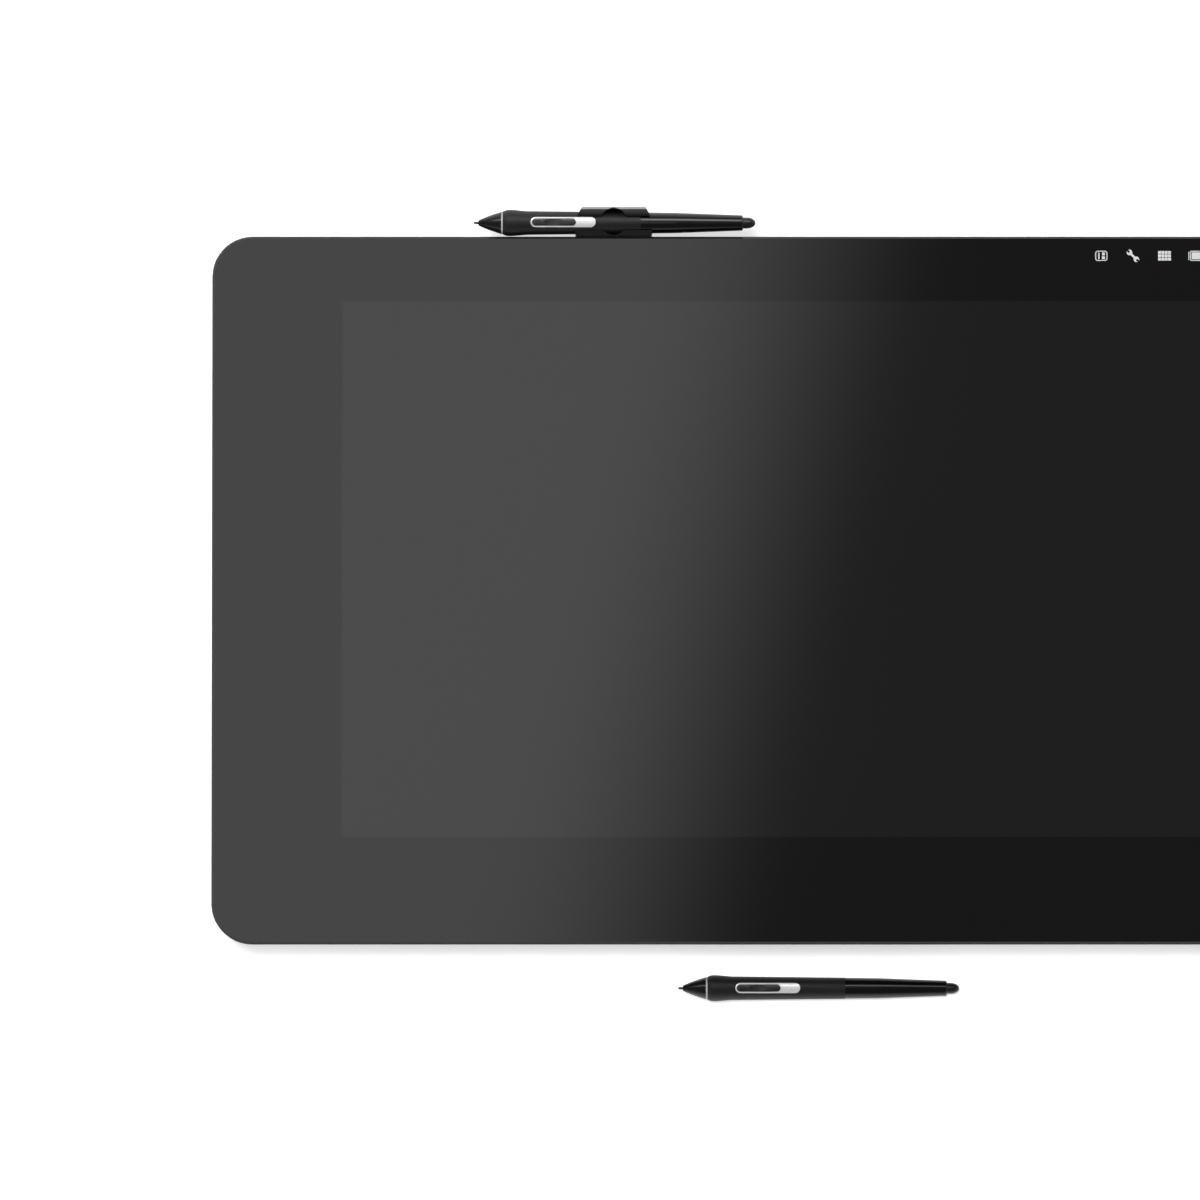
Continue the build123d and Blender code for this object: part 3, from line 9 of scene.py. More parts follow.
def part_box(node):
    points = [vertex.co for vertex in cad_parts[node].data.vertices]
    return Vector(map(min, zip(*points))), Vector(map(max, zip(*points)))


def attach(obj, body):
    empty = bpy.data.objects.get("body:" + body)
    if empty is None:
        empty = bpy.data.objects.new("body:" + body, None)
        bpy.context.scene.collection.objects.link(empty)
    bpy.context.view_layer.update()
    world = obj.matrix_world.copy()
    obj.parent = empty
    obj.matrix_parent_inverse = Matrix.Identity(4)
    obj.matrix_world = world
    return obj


# A pen display lying flat on a white floor, with one pen in its clip and one in front.
# Everything is in metres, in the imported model's own frame.
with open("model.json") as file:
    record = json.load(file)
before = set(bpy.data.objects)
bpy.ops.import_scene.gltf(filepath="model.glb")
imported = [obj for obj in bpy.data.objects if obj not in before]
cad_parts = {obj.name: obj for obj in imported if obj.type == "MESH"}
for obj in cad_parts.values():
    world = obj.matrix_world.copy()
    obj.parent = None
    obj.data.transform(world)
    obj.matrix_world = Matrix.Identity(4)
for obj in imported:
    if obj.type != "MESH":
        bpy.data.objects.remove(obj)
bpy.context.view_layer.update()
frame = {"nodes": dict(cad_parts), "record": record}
nodes = frame["nodes"]
mm = 0.001

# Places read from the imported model
glass_low, glass_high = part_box("cover_glass")
panel_low, panel_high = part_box("lcd_panel")
clip_low, clip_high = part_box("pen_clip")
clip_middle = (clip_low.x + clip_high.x) / 2
# Width of the painted highlight along the clip's back rim
clip_rim_highlight_width = 1.2 * mm
# Width and depth of the painted sheen on the clip's back lip
clip_lip_sheen_width = 5.4 * mm
clip_lip_sheen_depth = 9.0 * mm
clip_notch_width = 2.2 * mm
glass_top = glass_high.z
panel_border = 4.0 * mm
screen_x = panel_high.x - panel_border
screen_near = panel_low.y + panel_border
screen_far = panel_high.y - panel_border

# The photograph's framing, measured on the glass
photo_size = 1200
pixel = 0.5558 * mm
camera_target = Vector((-122.65 * mm, 1.66 * mm, glass_top))
camera_distance = 6.5
camera_tilt = radians(3.0)
sensor_width = 36.0

white = (1.0, 1.0, 1.0)
# The touch keys' print and its painted glow are a little green
icon_tint = (0.96, 1.0, 0.98)


# Shader maths


class Link:
    """A shader socket that can be written in sums, such as 1 - mask."""

    def __init__(self, finish, socket):
        self.finish = finish
        self.socket = socket

    def combine(self, operation, first, second):
        return self.finish.node("ShaderNodeMath", {"operation": operation}, {0: first, 1: second})

    def __add__(self, other):
        return self.combine("ADD", self, other)

    def __radd__(self, other):
        return self.combine("ADD", other, self)

    def __sub__(self, other):
        return self.combine("SUBTRACT", self, other)

    def __rsub__(self, other):
        return self.combine("SUBTRACT", other, self)

    def __mul__(self, other):
        return self.combine("MULTIPLY", self, other)

    def __rmul__(self, other):
        return self.combine("MULTIPLY", other, self)

    def __lt__(self, other):
        return self.combine("LESS_THAN", self, other)

    def __gt__(self, other):
        return self.combine("GREATER_THAN", self, other)

    def __abs__(self):
        return self.finish.node("ShaderNodeMath", {"operation": "ABSOLUTE"}, {0: self})


class Finish:
    """A material or world and its nodes."""

    def __init__(self, owner):
        owner.use_nodes = True
        self.owner = owner
        self.tree = owner.node_tree
        self.tree.nodes.clear()

    def node(self, kind, settings=None, sockets=None, output=0):
        """A node of that type, with its settings first and then the values or links of its sockets."""
        made = self.tree.nodes.new(kind)
        for name, value in (settings or {}).items():
            setattr(made, name, value)
        for name, value in (sockets or {}).items():
            if isinstance(value, Link):
                self.tree.links.new(value.socket, made.inputs[name])
            else:
                made.inputs[name].default_value = value
        return Link(self, made.outputs[output]) if len(made.outputs) else None

    def place(self):
        """The point on the piece at rest, in metres."""
        return self.node("ShaderNodeTexCoord", output="Object")

    def ray(self, name):
        """1 for rays of that kind, such as those from the camera, and 0 for others."""
        return self.node("ShaderNodeLightPath", output=name)

    def axes(self, vector):
        """A vector's three parts."""
        split = self.node("ShaderNodeSeparateXYZ", None, {0: vector})
        outputs = split.socket.node.outputs
        return [Link(self, outputs[axis]) for axis in range(3)]

    def noise(self, size, detail=2.0, stretch=None):
        """Soft noise from 0 to 1, with grains of about that size."""
        place = self.place()
        if stretch:
            place = self.node("ShaderNodeVectorMath", {"operation": "MULTIPLY"}, {0: place, 1: stretch})
        return self.node("ShaderNodeTexNoise", None, {"Vector": place, "Scale": 1 / size, "Detail": detail})

    def cells(self, size):
        """The distance to the nearest of many scattered points."""
        return self.node("ShaderNodeTexVoronoi", None, {"Vector": self.place(), "Scale": 1 / size})

    def mix(self, factor, first, second):
        """A colour between two."""
        return self.node(
            "ShaderNodeMix", {"data_type": "RGBA"}, {0: factor, 6: first, 7: second}, output=2
        )

    def tones(self, pattern, level, low, high, tint=white):
        """One colour times a low share where the pattern is 0 and a high share where it is 1."""
        return self.mix(pattern, shade(level * low, tint), shade(level * high, tint))

    def smooth(self, value, low, high):
        """0 below low, 1 above high and a soft step between them."""
        return self.node(
            "ShaderNodeMapRange",
            {"interpolation_type": "SMOOTHSTEP"},
            {0: value, 1: low, 2: high, 3: 0.0, 4: 1.0},
        )

    def bump(self, height, depth, normal=None):
        """A normal from a height of 0 to 1 times a depth in metres."""
        sockets = {"Height": height, "Distance": depth, "Strength": 1.0}
        if normal is not None:
            sockets["Normal"] = normal
        return self.node("ShaderNodeBump", None, sockets)

    def surface(self, **sockets):
        """The finished surface."""
        shader = self.node("ShaderNodeBsdfPrincipled", None, sockets)
        self.node("ShaderNodeOutputMaterial", None, {"Surface": shader})
        return self.owner


def shade(level, tint=white):
    """A dark or light colour from one level and a tint."""
    return (level * tint[0], level * tint[1], level * tint[2], 1.0)


def new_finish(name):
    return Finish(bpy.data.materials.new(name))


# Finishes, one short function for each kind of surface.
# The smoothest roughness is where a finish's patterns are 0.


def moulded(name, level, smoothest, grain, depth):
    """Moulded plastic: a fine spark-eroded grain, with slow changes of shade and polish."""
    cloud_size = 28 * mm
    cloud_polish = 0.08
    spark_polish = 0.06
    finish = new_finish(name)
    clouds = finish.noise(cloud_size, detail=3.0)
    sparks = finish.noise(grain, detail=4.0)
    return finish.surface(
        **{
            "Base Color": finish.tones(clouds, level, low=0.75, high=1.25),
            "Roughness": smoothest + clouds * cloud_polish + sparks * spark_polish,
            "Normal": finish.bump(sparks, depth),
        }
    )


def blasted_metal(name, level, smoothest):
    """Bead-blasted and anodised metal."""
    cloud_size = 40 * mm
    bead_size = 0.18 * mm
    bead_depth = 0.004 * mm
    bead_polish = 0.1
    finish = new_finish(name)
    clouds = finish.noise(cloud_size, detail=3.0)
    beads = finish.noise(bead_size, detail=3.0)
    return finish.surface(
        **{
            "Base Color": finish.tones(clouds, level, low=0.9, high=1.12),
            "Metallic": 1.0,
            "Roughness": smoothest + beads * bead_polish,
            "Normal": finish.bump(beads, bead_depth),
        }
    )


def brushed_metal(name, level, smoothest, tint=white, along=(0.04, 1, 1)):
    """Sheet or turned metal with fine lines along one direction."""
    line_width = 0.12 * mm
    line_depth = 0.003 * mm
    line_polish = 0.16
    stain_size = 12 * mm
    finish = new_finish(name)
    lines = finish.noise(line_width, detail=3.0, stretch=along)
    stains = finish.noise(stain_size, detail=3.0)
    return finish.surface(
        **{
            "Base Color": finish.tones(stains, level, low=0.82, high=1.1, tint=tint),
            "Metallic": 1.0,
            "Roughness": smoothest + lines * line_polish,
            "Normal": finish.bump(lines, line_depth),
        }
    )


def clip_finish(name):
    """Black moulded plastic with a fine grain, a lip made greyer by painted sheen and a painted pale
    highlight along its back rim.
    """
    cloud_size = 14 * mm
    grain_size = 0.22 * mm
    grain_depth = 0.006 * mm
    grain_polish = 0.1
    edge_depth = 0.2 * mm
    finish = new_finish(name)
    clouds = finish.noise(cloud_size, detail=3.0)
    grain = finish.noise(grain_size, detail=4.0)
    x, y, z = finish.axes(finish.place())
    # Painted highlight: a pale strip along the clip's back rim, where its top edge catches the light
    rim = (y > clip_high.y - clip_rim_highlight_width) * (z > clip_high.z - edge_depth)
    rim = rim * (abs(x - clip_middle) > clip_notch_width / 2)
    # Painted sheen: the lip turns greyer towards the rim, where its slope reflects the light
    lip = finish.smooth(y, clip_high.y - clip_lip_sheen_width, clip_high.y - clip_rim_highlight_width)
    lip = lip * (y < clip_high.y - edge_depth) * (z > clip_high.z - clip_lip_sheen_depth)
    black = finish.tones(clouds, level=0.004, low=0.75, high=1.25)
    # The grey colour of the painted sheen on the lip
    grey = shade(0.046)
    # The pale colour of the painted highlight on the back rim
    pale = finish.tones(grain, level=0.38, low=0.895, high=1.105)
    return finish.surface(
        **{
            "Base Color": finish.mix(rim, finish.mix(lip, black, grey), pale),
            "Roughness": 0.36 + grain * grain_polish,
            "Specular IOR Level": 0.14,
            "Normal": finish.bump(grain, grain_depth),
        }
    )


def soft_rubber(name, level, smoothest, grain, depth, gleam=0.5):
    """Rubber with a dusty bloom and a fine open grain."""
    bloom_size = 9 * mm
    bloom_polish = 0.1
    finish = new_finish(name)
    bloom = finish.noise(bloom_size, detail=4.0)
    pores = finish.cells(grain)
    return finish.surface(
        **{
            "Base Color": finish.tones(bloom, level, low=0.75, high=1.5),
            "Roughness": smoothest + bloom * bloom_polish,
            "Specular IOR Level": gleam,
            "Normal": finish.bump(pores, depth),
        }
    )


def painted_metal(name, level, smoothest):
    """Cast metal under a thin black paint with a slight orange peel."""
    peel_size = 1.6 * mm
    peel_depth = 0.02 * mm
    speck_size = 0.25 * mm
    speck_depth = 0.006 * mm
    speck_polish = 0.08
    finish = new_finish(name)
    peel = finish.noise(peel_size)
    specks = finish.noise(speck_size, detail=3.0)
    return finish.surface(
        **{
            "Base Color": finish.tones(peel, level, low=0.85, high=1.2),
            "Roughness": smoothest + specks * speck_polish,
            "Normal": finish.bump(specks, speck_depth, finish.bump(peel, peel_depth)),
        }
    )


def circuit_board(name):
    """Green solder mask over copper tracks, with pale pads."""
    track_pitch = 2.4 * mm
    track_start_share = 0.55
    track_full_share = 0.62
    track_height = 0.03 * mm
    wander_size = 18 * mm
    wander_tracks = 6
    block_size = 26 * mm
    pad_pitch = 5.5 * mm
    pad_reach_share = 0.09
    mask_green = (0.006, 0.06, 0.022, 1.0)
    track_green = (0.012, 0.11, 0.04, 1.0)
    pad_gold = (0.62, 0.5, 0.28, 1.0)
    finish = new_finish(name)
    x, y, _ = finish.axes(finish.place())
    bend = finish.noise(wander_size, detail=0.0) * wander_tracks * track_pitch
    folded = {"operation": "PINGPONG"}
    along = finish.node("ShaderNodeMath", folded, {0: x + bend, 1: track_pitch})
    across = finish.node("ShaderNodeMath", folded, {0: y + bend, 1: track_pitch})
    block = finish.noise(block_size, detail=0.0) > 0.5
    line = along * block + across * (1 - block)
    track = finish.smooth(line, track_pitch * track_start_share, track_pitch * track_full_share)
    pads = finish.cells(pad_pitch) < pad_reach_share
    mask = finish.mix(track, mask_green, track_green)
    return finish.surface(
        **{
            "Base Color": finish.mix(pads, mask, pad_gold),
            "Metallic": pads * 0.9,
            "Roughness": 0.34 - pads * 0.1,
            "Normal": finish.bump(track, track_height),
        }
    )


def display_glass(name):
    """Etched glass over a black printed border, with the dark picture area showing through."""
    etch_size = 0.08 * mm
    etch_depth = 0.00008 * mm
    etch_polish = 0.03
    cloud_size = 120 * mm
    picture_coat = 0.1
    finish = new_finish(name)
    x, y, _ = finish.axes(finish.place())
    inside = (abs(x) < screen_x) * (y > screen_near) * (y < screen_far)
    etch = finish.noise(etch_size)
    clouds = finish.noise(cloud_size)
    border = finish.tones(clouds, level=0.0044, low=0.91, high=1.09)
    picture = finish.tones(clouds, level=0.009, low=0.955, high=1.045)
    return finish.surface(
        **{
            "Base Color": finish.mix(inside, border, picture),
            "Roughness": 0.045 + etch * etch_polish,
            "Coat Weight": inside * picture_coat,
            "Coat Roughness": 0.06,
            "Normal": finish.bump(etch, etch_depth),
        }
    )


def print_with_painted_glow(name):
    """Pale print, a little uneven, with a faint painted glow."""
    patch_size = 1.5 * mm
    patch_polish = 0.1
    finish = new_finish(name)
    patches = finish.noise(patch_size)
    return finish.surface(
        **{
            "Base Color": finish.tones(patches, level=0.6, low=0.933, high=1.067, tint=icon_tint),
            "Roughness": 0.4 + patches * patch_polish,
            # Painted glow: the print gives off a little light of its own
            "Emission Color": finish.tones(patches, level=1.0, low=0.9, high=1.0, tint=icon_tint),
            "Emission Strength": 0.12,
        }
    )


def clear_sheet(name, level, smoothest, tint=white):
    """A light-coloured inner sheet of the backlight."""
    dot_pitch = 1.2 * mm
    dot_polish = 0.1
    finish = new_finish(name)
    dots = finish.cells(dot_pitch)
    colour = finish.tones(dots, level, low=1.0, high=0.9, tint=tint)
    return finish.surface(**{"Base Color": colour, "Roughness": smoothest + dots * dot_polish})


def polished_plastic(name, level, smoothest):
    """Polished plastic with faint handling marks."""
    smear_size = 6 * mm
    smear_polish = 0.05
    scratch_size = 0.5 * mm
    scratch_depth = 0.0006 * mm
    finish = new_finish(name)
    smears = finish.noise(smear_size, detail=5.0, stretch=(0.4, 1, 1))
    scratches = finish.noise(scratch_size, stretch=(0.08, 1, 1))
    return finish.surface(
        **{
            "Base Color": finish.tones(smears, level, low=0.9, high=1.15),
            "Roughness": smoothest + smears * smear_polish,
            "Normal": finish.bump(scratches, scratch_depth),
        }
    )


def silver_paint(name, level, smoothest):
    """Bright silver paint with fine flakes."""
    flake_size = 0.06 * mm
    flake_depth = 0.001 * mm
    flake_polish = 0.08
    finish = new_finish(name)
    flakes = finish.cells(flake_size)
    return finish.surface(
        **{
            "Base Color": finish.tones(flakes, level, low=1.04, high=0.9),
            "Metallic": 0.35,
            "Roughness": smoothest + flakes * flake_polish,
            "Normal": finish.bump(flakes, flake_depth),
        }
    )


brass_tint = (1.0, 0.76, 0.36)
finish_makers = {
    "cover_glass": (display_glass, {}),
    "icon_print": (print_with_painted_glow, {}),
    "gasket_foam": (soft_rubber, dict(level=0.03, smoothest=0.85, grain=0.5 * mm, depth=0.05 * mm)),
    "panel_glass": (polished_plastic, dict(level=0.03, smoothest=0.12)),
    "optical_film": (clear_sheet, dict(level=0.8, smoothest=0.6)),
    "guide_acrylic": (clear_sheet, dict(level=0.75, smoothest=0.1, tint=(0.96, 0.99, 1.0))),
    "led_bar": (clear_sheet, dict(level=0.8, smoothest=0.5, tint=(1.0, 0.93, 0.6))),
    "tray_steel": (brushed_metal, dict(level=0.55, smoothest=0.27)),
    "circuit_board": (circuit_board, {}),
    "shield_sheet": (brushed_metal, dict(level=0.62, smoothest=0.32)),
    "frame_metal": (blasted_metal, dict(level=0.12, smoothest=0.38)),
    "chassis_metal": (brushed_metal, dict(level=0.5, smoothest=0.32)),
    "housing_plastic": (moulded, dict(level=0.022, smoothest=0.49, grain=0.35 * mm, depth=0.02 * mm)),
    "door_plastic": (moulded, dict(level=0.024, smoothest=0.46, grain=0.35 * mm, depth=0.02 * mm)),
    "rubber": (soft_rubber, dict(level=0.016, smoothest=0.75, grain=0.3 * mm, depth=0.012 * mm)),
    "steel": (brushed_metal, dict(level=0.22, smoothest=0.24)),
    "brass": (brushed_metal, dict(level=0.62, smoothest=0.22, tint=brass_tint, along=(1, 1, 0.1))),
    "leg_metal": (painted_metal, dict(level=0.022, smoothest=0.4)),
    "socket_metal": (brushed_metal, dict(level=0.5, smoothest=0.2)),
    "chip_plastic": (moulded, dict(level=0.02, smoothest=0.44, grain=0.2 * mm, depth=0.01 * mm)),
    "sink_metal": (brushed_metal, dict(level=0.6, smoothest=0.28)),
    "fan_plastic": (moulded, dict(level=0.02, smoothest=0.34, grain=0.6 * mm, depth=0.004 * mm)),
    "button_plastic": (moulded, dict(level=0.03, smoothest=0.36, grain=0.2 * mm, depth=0.006 * mm)),
    "clip_plastic": (clip_finish, {}),
    "nib_plastic": (moulded, dict(level=0.018, smoothest=0.44, grain=0.1 * mm, depth=0.004 * mm)),
    "pen_cone_plastic": (moulded, dict(level=0.006, smoothest=0.16, grain=0.15 * mm, depth=0.001 * mm)),
    "pen_ring_plastic": (polished_plastic, dict(level=0.45, smoothest=0.22)),
    "pen_grip_rubber": (
        soft_rubber,
        dict(level=0.007, smoothest=0.46, grain=0.12 * mm, depth=0.004 * mm, gleam=0.4),
    ),
    "pen_barrel_plastic": (polished_plastic, dict(level=0.0015, smoothest=0.17)),
    "pen_bezel_silver": (silver_paint, dict(level=0.85, smoothest=0.22)),
    "pen_rocker_plastic": (moulded, dict(level=0.018, smoothest=0.22, grain=0.15 * mm, depth=0.003 * mm)),
    "pen_eraser_plastic": (moulded, dict(level=0.007, smoothest=0.22, grain=0.15 * mm, depth=0.003 * mm)),
    "pen_core_plastic": (moulded, dict(level=0.25, smoothest=0.44, grain=0.3 * mm, depth=0.006 * mm)),
}
finishes = {slot: make(slot, **settings) for slot, (make, settings) in finish_makers.items()}


def dress(piece, slot):
    """Gives a piece its slot's finish, in place of whatever it came with."""
    piece.data.materials.clear()
    piece.data.materials.append(finishes[slot])


for subpart in frame["record"]["subparts"]:
    dress(nodes[subpart["node"]], subpart["material_slot"])


# Small raised details


def divided(corners, closed, steps=6):
    """Points along the straight lines between the corners."""
    ends = corners[1:] + corners[:1] if closed else corners[1:]
    points = []
    for start, end in zip(corners, ends):
        for step in range(steps):
            share = step / steps
            points.append((start[0] + (end[0] - start[0]) * share, start[1] + (end[1] - start[1]) * share))
    return points if closed else points + [corners[-1]]


def bar(left, right, near, far):
    """The two long edges of a straight bar, as a strip."""
    return divided([(left, near), (right, near)], False), divided([(left, far), (right, far)], False), False


def box_outline(left, right, near, far, line):
    """A rectangle drawn with a line of that width, as a strip."""
    outer = [(left, near), (right, near), (right, far), (left, far)]
    inner = [(left + line, near + line), (right - line, near + line), (right - line, far - line)]
    inner.append((left + line, far - line))
    return divided(outer, True), divided(inner, True), True


def arc_outline(radius, line, start, end, steps=40):
    """Part of a ring, as a strip; the angles are measured from straight up."""
    turns = [start + (end - start) * step / steps for step in range(steps + 1)]
    outer = [(radius * sin(turn), radius * cos(turn)) for turn in turns]
    inner = [((radius - line) * sin(turn), (radius - line) * cos(turn)) for turn in turns]
    return outer, inner, False


def raised(name, strips, lay, body, slot, rounding=0.0):
    """A thin solid over each strip; lay gives the place of its foot (0) and its top (1)."""
    sharp_angle = radians(50)
    build = bmesh.new()
    for first, second, closed in strips:
        foot_a, top_a, foot_b, top_b = [
            [build.verts.new(lay(u, v, level)) for u, v in line]
            for line, level in ((first, 0), (first, 1), (second, 0), (second, 1))
        ]
        last = len(first) if closed else len(first) - 1
        for here in range(last):
            onward = (here + 1) % len(first)
            for row, other in ((top_a, top_b), (foot_b, foot_a), (foot_a, top_a), (top_b, foot_b)):
                build.faces.new((row[here], row[onward], other[onward], other[here]))
        if not closed:
            for end in (0, -1):
                build.faces.new((foot_a[end], top_a[end], top_b[end], foot_b[end]))
    bmesh.ops.recalc_face_normals(build, faces=build.faces)
    mesh = bpy.data.meshes.new(name)
    build.to_mesh(mesh)
    build.free()
    piece = bpy.data.objects.new(name, mesh)
    bpy.context.scene.collection.objects.link(piece)
    if rounding:
        bevel = piece.modifiers.new("rounded_edges", "BEVEL")
        bevel.width = rounding
        bevel.segments = 2
        bevel.angle_limit = sharp_angle
        bevel.limit_method = "ANGLE"
    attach(piece, body)
    dress(piece, slot)


def skin_of(node):
    """A node's surface, for finding where a ray meets it."""
    mesh = nodes[node].data
    corners = [corner.co.copy() for corner in mesh.vertices]
    return BVHTree.FromPolygons(corners, [tuple(face.vertices) for face in mesh.polygons])


def power_symbol():
    """The ring and bar pressed into the power button's face."""
    low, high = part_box("power_button")
    middle = (low + high) / 2
    line = 0.3 * mm
    ring_radius = 1.25 * mm
    ring_gap = radians(38)
    stroke_low = 0.25 * mm
    stroke_high = 1.6 * mm
    sunk = 0.1 * mm
    proud = 0.04 * mm

    def lay(u, v, level):
        return (middle.x + u, high.y + (proud if level else -sunk), middle.z + v)

    ring = arc_outline(ring_radius, line, ring_gap, 2 * pi - ring_gap)
    stroke = bar(-line / 2, line / 2, stroke_low, stroke_high)
    # The symbol takes the touch keys' print, with its faint painted glow
    raised("power_symbol", [ring, stroke], lay, "power_button_body", "icon_print")


def rocker_marks(pen):
    """The two small marks on the front half of a pen's rocker, laid on its curved skin."""
    skin = skin_of(pen + "_rocker")
    low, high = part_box(pen + "_rocker")
    middle = (low.y + high.y) / 2
    square_start = 1.9 * mm
    square_end = 4.5 * mm
    square_half = 0.85 * mm
    square_line = 0.28 * mm
    tick_start = 7.2 * mm
    tick_end = 9.1 * mm
    tick_half = 0.15 * mm
    sunk = 0.04 * mm
    proud = 0.05 * mm
    ray_lift = 1.0 * mm

    def lay(u, v, level):
        over = Vector((low.x + u, middle + v, high.z + ray_lift))
        hit = skin.ray_cast(over, Vector((0, 0, -1)))[0]
        return (over.x, over.y, hit.z + (proud if level else -sunk))

    square = box_outline(square_start, square_end, -square_half, square_half, square_line)
    tick = bar(tick_start, tick_end, -tick_half, tick_half)
    raised(pen + "_rocker_marks", [square, tick], lay, pen + "_rocker_body", "pen_barrel_plastic")


def usb_contacts():
    """Four sprung contacts under the tongue of each of the four square sockets."""
    low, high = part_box("usb_sockets")
    shell_to_tongue = 3.05 * mm
    tongue_low = high.z - shell_to_tongue
    half_socket = 6.6 * mm
    contact_pitch = 2.3 * mm
    contact_half = 0.5 * mm
    contact_setback = 2.0 * mm
    contact_end = 9.5 * mm
    thickness = 0.12 * mm
    strips = []
    for side in (-1, 1):
        for socket_y in (low.y + half_socket, high.y - half_socket):
            for place in (-1.5, -0.5, 0.5, 1.5):
                y = socket_y + place * contact_pitch
                left, right = sorted((side * (high.x - contact_setback), side * (high.x - contact_end)))
                strips.append(bar(left, right, y - contact_half, y + contact_half))

    def lay(u, v, level):
        return (u, v, tongue_low - (thickness if level else -thickness / 2))

    raised("usb_contacts", strips, lay, "unit", "brass")


def switch_slot_shade_block():
    """A dark foam block on the control board, behind the open half of the touch switch's slot, put there as
    painted shade.
    """
    low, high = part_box("touch_switch")
    middle = (low.z + high.z) / 2
    slack = 0.25 * mm
    overlap = 0.6 * mm
    length = 7.0 * mm
    half_height = 3.2 * mm
    left = high.x - overlap
    right = left + length
    seen = Vector(((left + right) / 2, high.y, middle))
    board_face = skin_of("control_board").ray_cast(seen, Vector((0, -1, 0)))[0]

    def lay(u, v, level):
        return (u, low.y - slack if level else board_face.y, v)

    # A dark block standing in for the shade inside the touch switch's slot
    block = bar(left, right, middle - half_height, middle + half_height)
    raised("switch_slot_shade_block", [block], lay, "unit", "gasket_foam")


def finger_ribs(name, node, body, slot, reach, first):
    """Fine ribs across the outer face of a folding part, where a finger pulls it open."""
    low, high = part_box(node)
    middle = (low.x + high.x) / 2
    count = 4
    pitch = 2.6 * mm
    width = 1.1 * mm
    height = 0.35 * mm
    sunk = 0.3 * mm
    rounding = 0.14 * mm
    rows = [first + row * pitch for row in range(count)]
    strips = [bar(-reach, reach, y - width / 2, y + width / 2) for y in rows]

    def lay(u, v, level):
        return (middle + u, v, low.z - (height if level else -sunk))

    raised(name, strips, lay, body, slot, rounding)


power_symbol()
for pen in ("docked_pen", "loose_pen"):
    rocker_marks(pen)
usb_contacts()
switch_slot_shade_block()
door_ribs_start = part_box("cable_door")[1].y - 11.0 * mm
finger_ribs("door_ribs", "cable_door", "cable_door_body", "door_plastic", 15.0 * mm, door_ribs_start)
for side in ("left", "right"):
    leg = "leg_" + side
    leg_ribs_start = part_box(leg)[0].y + 10.0 * mm
    finger_ribs("leg_ribs_" + side, leg, leg + "_body", "leg_metal", 14.0 * mm, leg_ribs_start)


# Stage: floor, surroundings, lamps and the camera
camera_side = Matrix.Rotation(camera_tilt, 3, "X") @ Vector((0, 0, 1))
camera_place = camera_target + camera_side * camera_distance


def on_glass(u, v):
    """The point of the glass plane at a pixel of the photograph, near enough for lamps."""
    half = photo_size / 2
    return Vector(((u - half) * pixel + camera_target.x, (half - v) * pixel + camera_target.y, glass_top))


def seen_above(point, height):
    """Where the camera's mirrored ray from a point of the glass reaches a height above it."""
    climb = height / (camera_place.z - glass_top)
    return Vector(
        (
            point.x + (point.x - camera_place.x) * climb,
            point.y + (point.y - camera_place.y) * climb,
            glass_top + height,
        )
    )


def flat_mesh(name, corners):
    """One flat face through its corners."""
    mesh = bpy.data.meshes.new(name)
    mesh.from_pydata([tuple(corner) for corner in corners], [], [tuple(range(len(corners)))])
    piece = bpy.data.objects.new(name, mesh)
    bpy.context.scene.collection.objects.link(piece)
    return piece


def white_floor():
    """A white floor that shows as white wherever no shadow falls on it."""
    floor_level = 0.8
    glow_level = 0.58
    finish = new_finish("floor_white")
    seen = finish.ray("Is Camera Ray") + finish.ray("Is Glossy Ray") + finish.ray("Is Transmission Ray")
    body = finish.node("ShaderNodeBsdfDiffuse", None, {"Color": shade(floor_level)})
    glow = finish.node("ShaderNodeEmission", None, {"Color": shade(1.0), "Strength": glow_level})
    both = finish.node("ShaderNodeAddShader", None, {0: body, 1: glow})
    floor_shader = finish.node("ShaderNodeMixShader", None, {0: seen, 1: body, 2: both})
    finish.node("ShaderNodeOutputMaterial", None, {"Surface": floor_shader})
    return finish.owner


floor_half = 8.0
floor_turns = ((-1, -1), (1, -1), (1, 1), (-1, 1))
floor = flat_mesh("floor", [(x * floor_half, y * floor_half, 0) for x, y in floor_turns])
floor.data.materials.append(white_floor())


def surroundings():
    """White all round at the height of the horizon, and a dim ceiling overhead."""
    ceiling_level = 0.12
    horizon_top = 0.18
    ceiling_edge = 0.55
    world = bpy.data.worlds.new("studio")
    bpy.context.scene.world = world
    finish = Finish(world)
    direction = finish.node("ShaderNodeTexCoord", output="Generated")
    _, _, rise = finish.axes(direction)
    room = finish.mix(finish.smooth(rise, horizon_top, ceiling_edge), shade(1.0), shade(ceiling_level))
    room_light = finish.node("ShaderNodeBackground", None, {"Color": room, "Strength": 1.0})
    backdrop = finish.node("ShaderNodeBackground", None, {"Color": shade(1.0), "Strength": 1.0})
    seen = finish.ray("Is Camera Ray")
    light = finish.node("ShaderNodeMixShader", None, {0: seen, 1: room_light, 2: backdrop})
    finish.node("ShaderNodeOutputWorld", None, {"Surface": light})


surroundings()


def key_lamp():
    """One soft rectangular lamp high above the glass, which mirror-like rays don't see."""
    place = Vector((-0.89, 0.67, 7.0))
    aim = Vector((-0.1, 0.0, 0.03))
    width = 1.25
    depth = 1.7
    radiance = 55.0
    light = bpy.data.lights.new("key_lamp", "AREA")
    light.shape = "RECTANGLE"
    light.size = width
    light.size_y = depth
    light.energy = radiance * pi * width * depth
    piece = bpy.data.objects.new("key_lamp", light)
    piece.location = place
    piece.rotation_mode = "QUATERNION"
    piece.rotation_quaternion = (aim - place).to_track_quat("-Z", "Y")
    piece.visible_glossy = False
    bpy.context.scene.collection.objects.link(piece)


key_lamp()


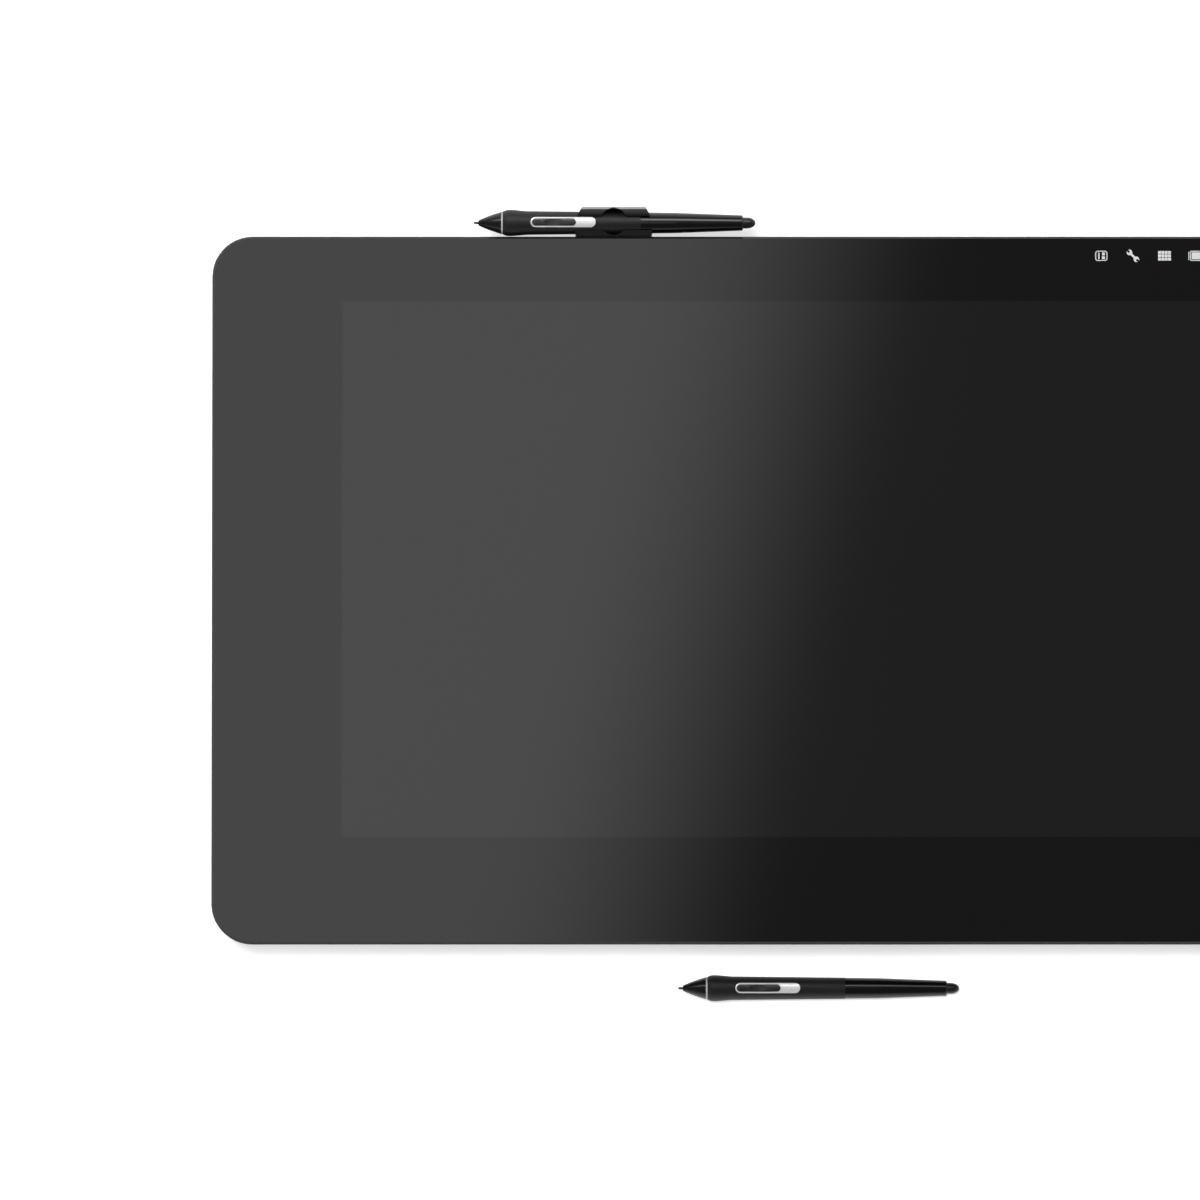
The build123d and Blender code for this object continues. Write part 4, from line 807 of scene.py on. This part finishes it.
def mirrored_panel(name, low, high, radiance, pattern):
    """A flat glowing panel that only mirror-like reflections show, lit by a pattern of x and y."""
    panel = flat_mesh(name, [low, (high.x, low.y, low.z), (high.x, high.y, low.z), (low.x, high.y, low.z)])
    finish = new_finish(name + "_light")
    x, y, _ = finish.axes(finish.place())
    clear = finish.node("ShaderNodeBsdfTransparent", None, {"Color": shade(1.0)})
    light = finish.node("ShaderNodeEmission", None, {"Color": shade(1.0), "Strength": radiance})
    shader = finish.node("ShaderNodeMixShader", None, {0: pattern(finish, x, y), 1: clear, 2: light})
    finish.node("ShaderNodeOutputMaterial", None, {"Surface": shader})
    panel.data.materials.append(finish.owner)
    panel.visible_camera = False
    panel.visible_diffuse = False
    panel.visible_transmission = False
    panel.visible_shadow = False


def glass_reflection():
    """A pale panel over the left half of the glass, which mirrors its soft slanted edge."""
    height = 2.5
    radiance = 1.43
    slant_top = seen_above(on_glass(799, 260), height)
    slant_bottom = seen_above(on_glass(640, 880), height)
    slant = (slant_top.x - slant_bottom.x) / (slant_top.y - slant_bottom.y)
    lean = cos(atan2(slant, 1.0))
    slant_width = 0.235
    side_width = 0.12
    margin = Vector((0.22, 0.22, 0))
    low = seen_above(glass_low, height) - margin
    high = seen_above(glass_high, height) + margin
    high.x = slant_top.x + slant_width * 2

    def pattern(finish, x, y):
        from_slant = (slant_bottom.x + (y - slant_bottom.y) * slant - x) * lean
        lit = finish.smooth(from_slant, -slant_width / 2, slant_width / 2)
        lit = lit * finish.smooth(x - low.x, 0.0, side_width)
        lit = lit * finish.smooth(y - low.y, 0.0, side_width)
        return lit * finish.smooth(high.y - y, 0.0, side_width)

    mirrored_panel("glass_reflection", low, high, radiance, pattern)


def barrel_reflection():
    """A long panel high on the far side, which draws the soft stripe along the pens' glossy barrels."""
    radiance = 5.4
    near_width = 1.2
    far_width = 3.0
    low = Vector((-5.0, 2.2, 6.0))
    high = Vector((4.0, 7.2, 6.0))

    def pattern(finish, x, y):
        lit = finish.smooth(y, low.y, low.y + near_width)
        return lit * finish.smooth(high.y - y, 0.0, far_width)

    mirrored_panel("barrel_reflection", low, high, radiance, pattern)


glass_reflection()
barrel_reflection()

lens = bpy.data.cameras.new("camera")
lens.type = "PERSP"
lens.sensor_width = sensor_width
lens.lens = sensor_width * camera_distance / (photo_size * pixel)
lens.clip_start = 0.1
lens.clip_end = 60.0
camera = bpy.data.objects.new("camera", lens)
camera.location = camera_place
camera.rotation_euler = (camera_tilt, 0, 0)
bpy.context.scene.collection.objects.link(camera)
bpy.context.scene.camera = camera
bpy.context.scene.view_settings.view_transform = "Standard"
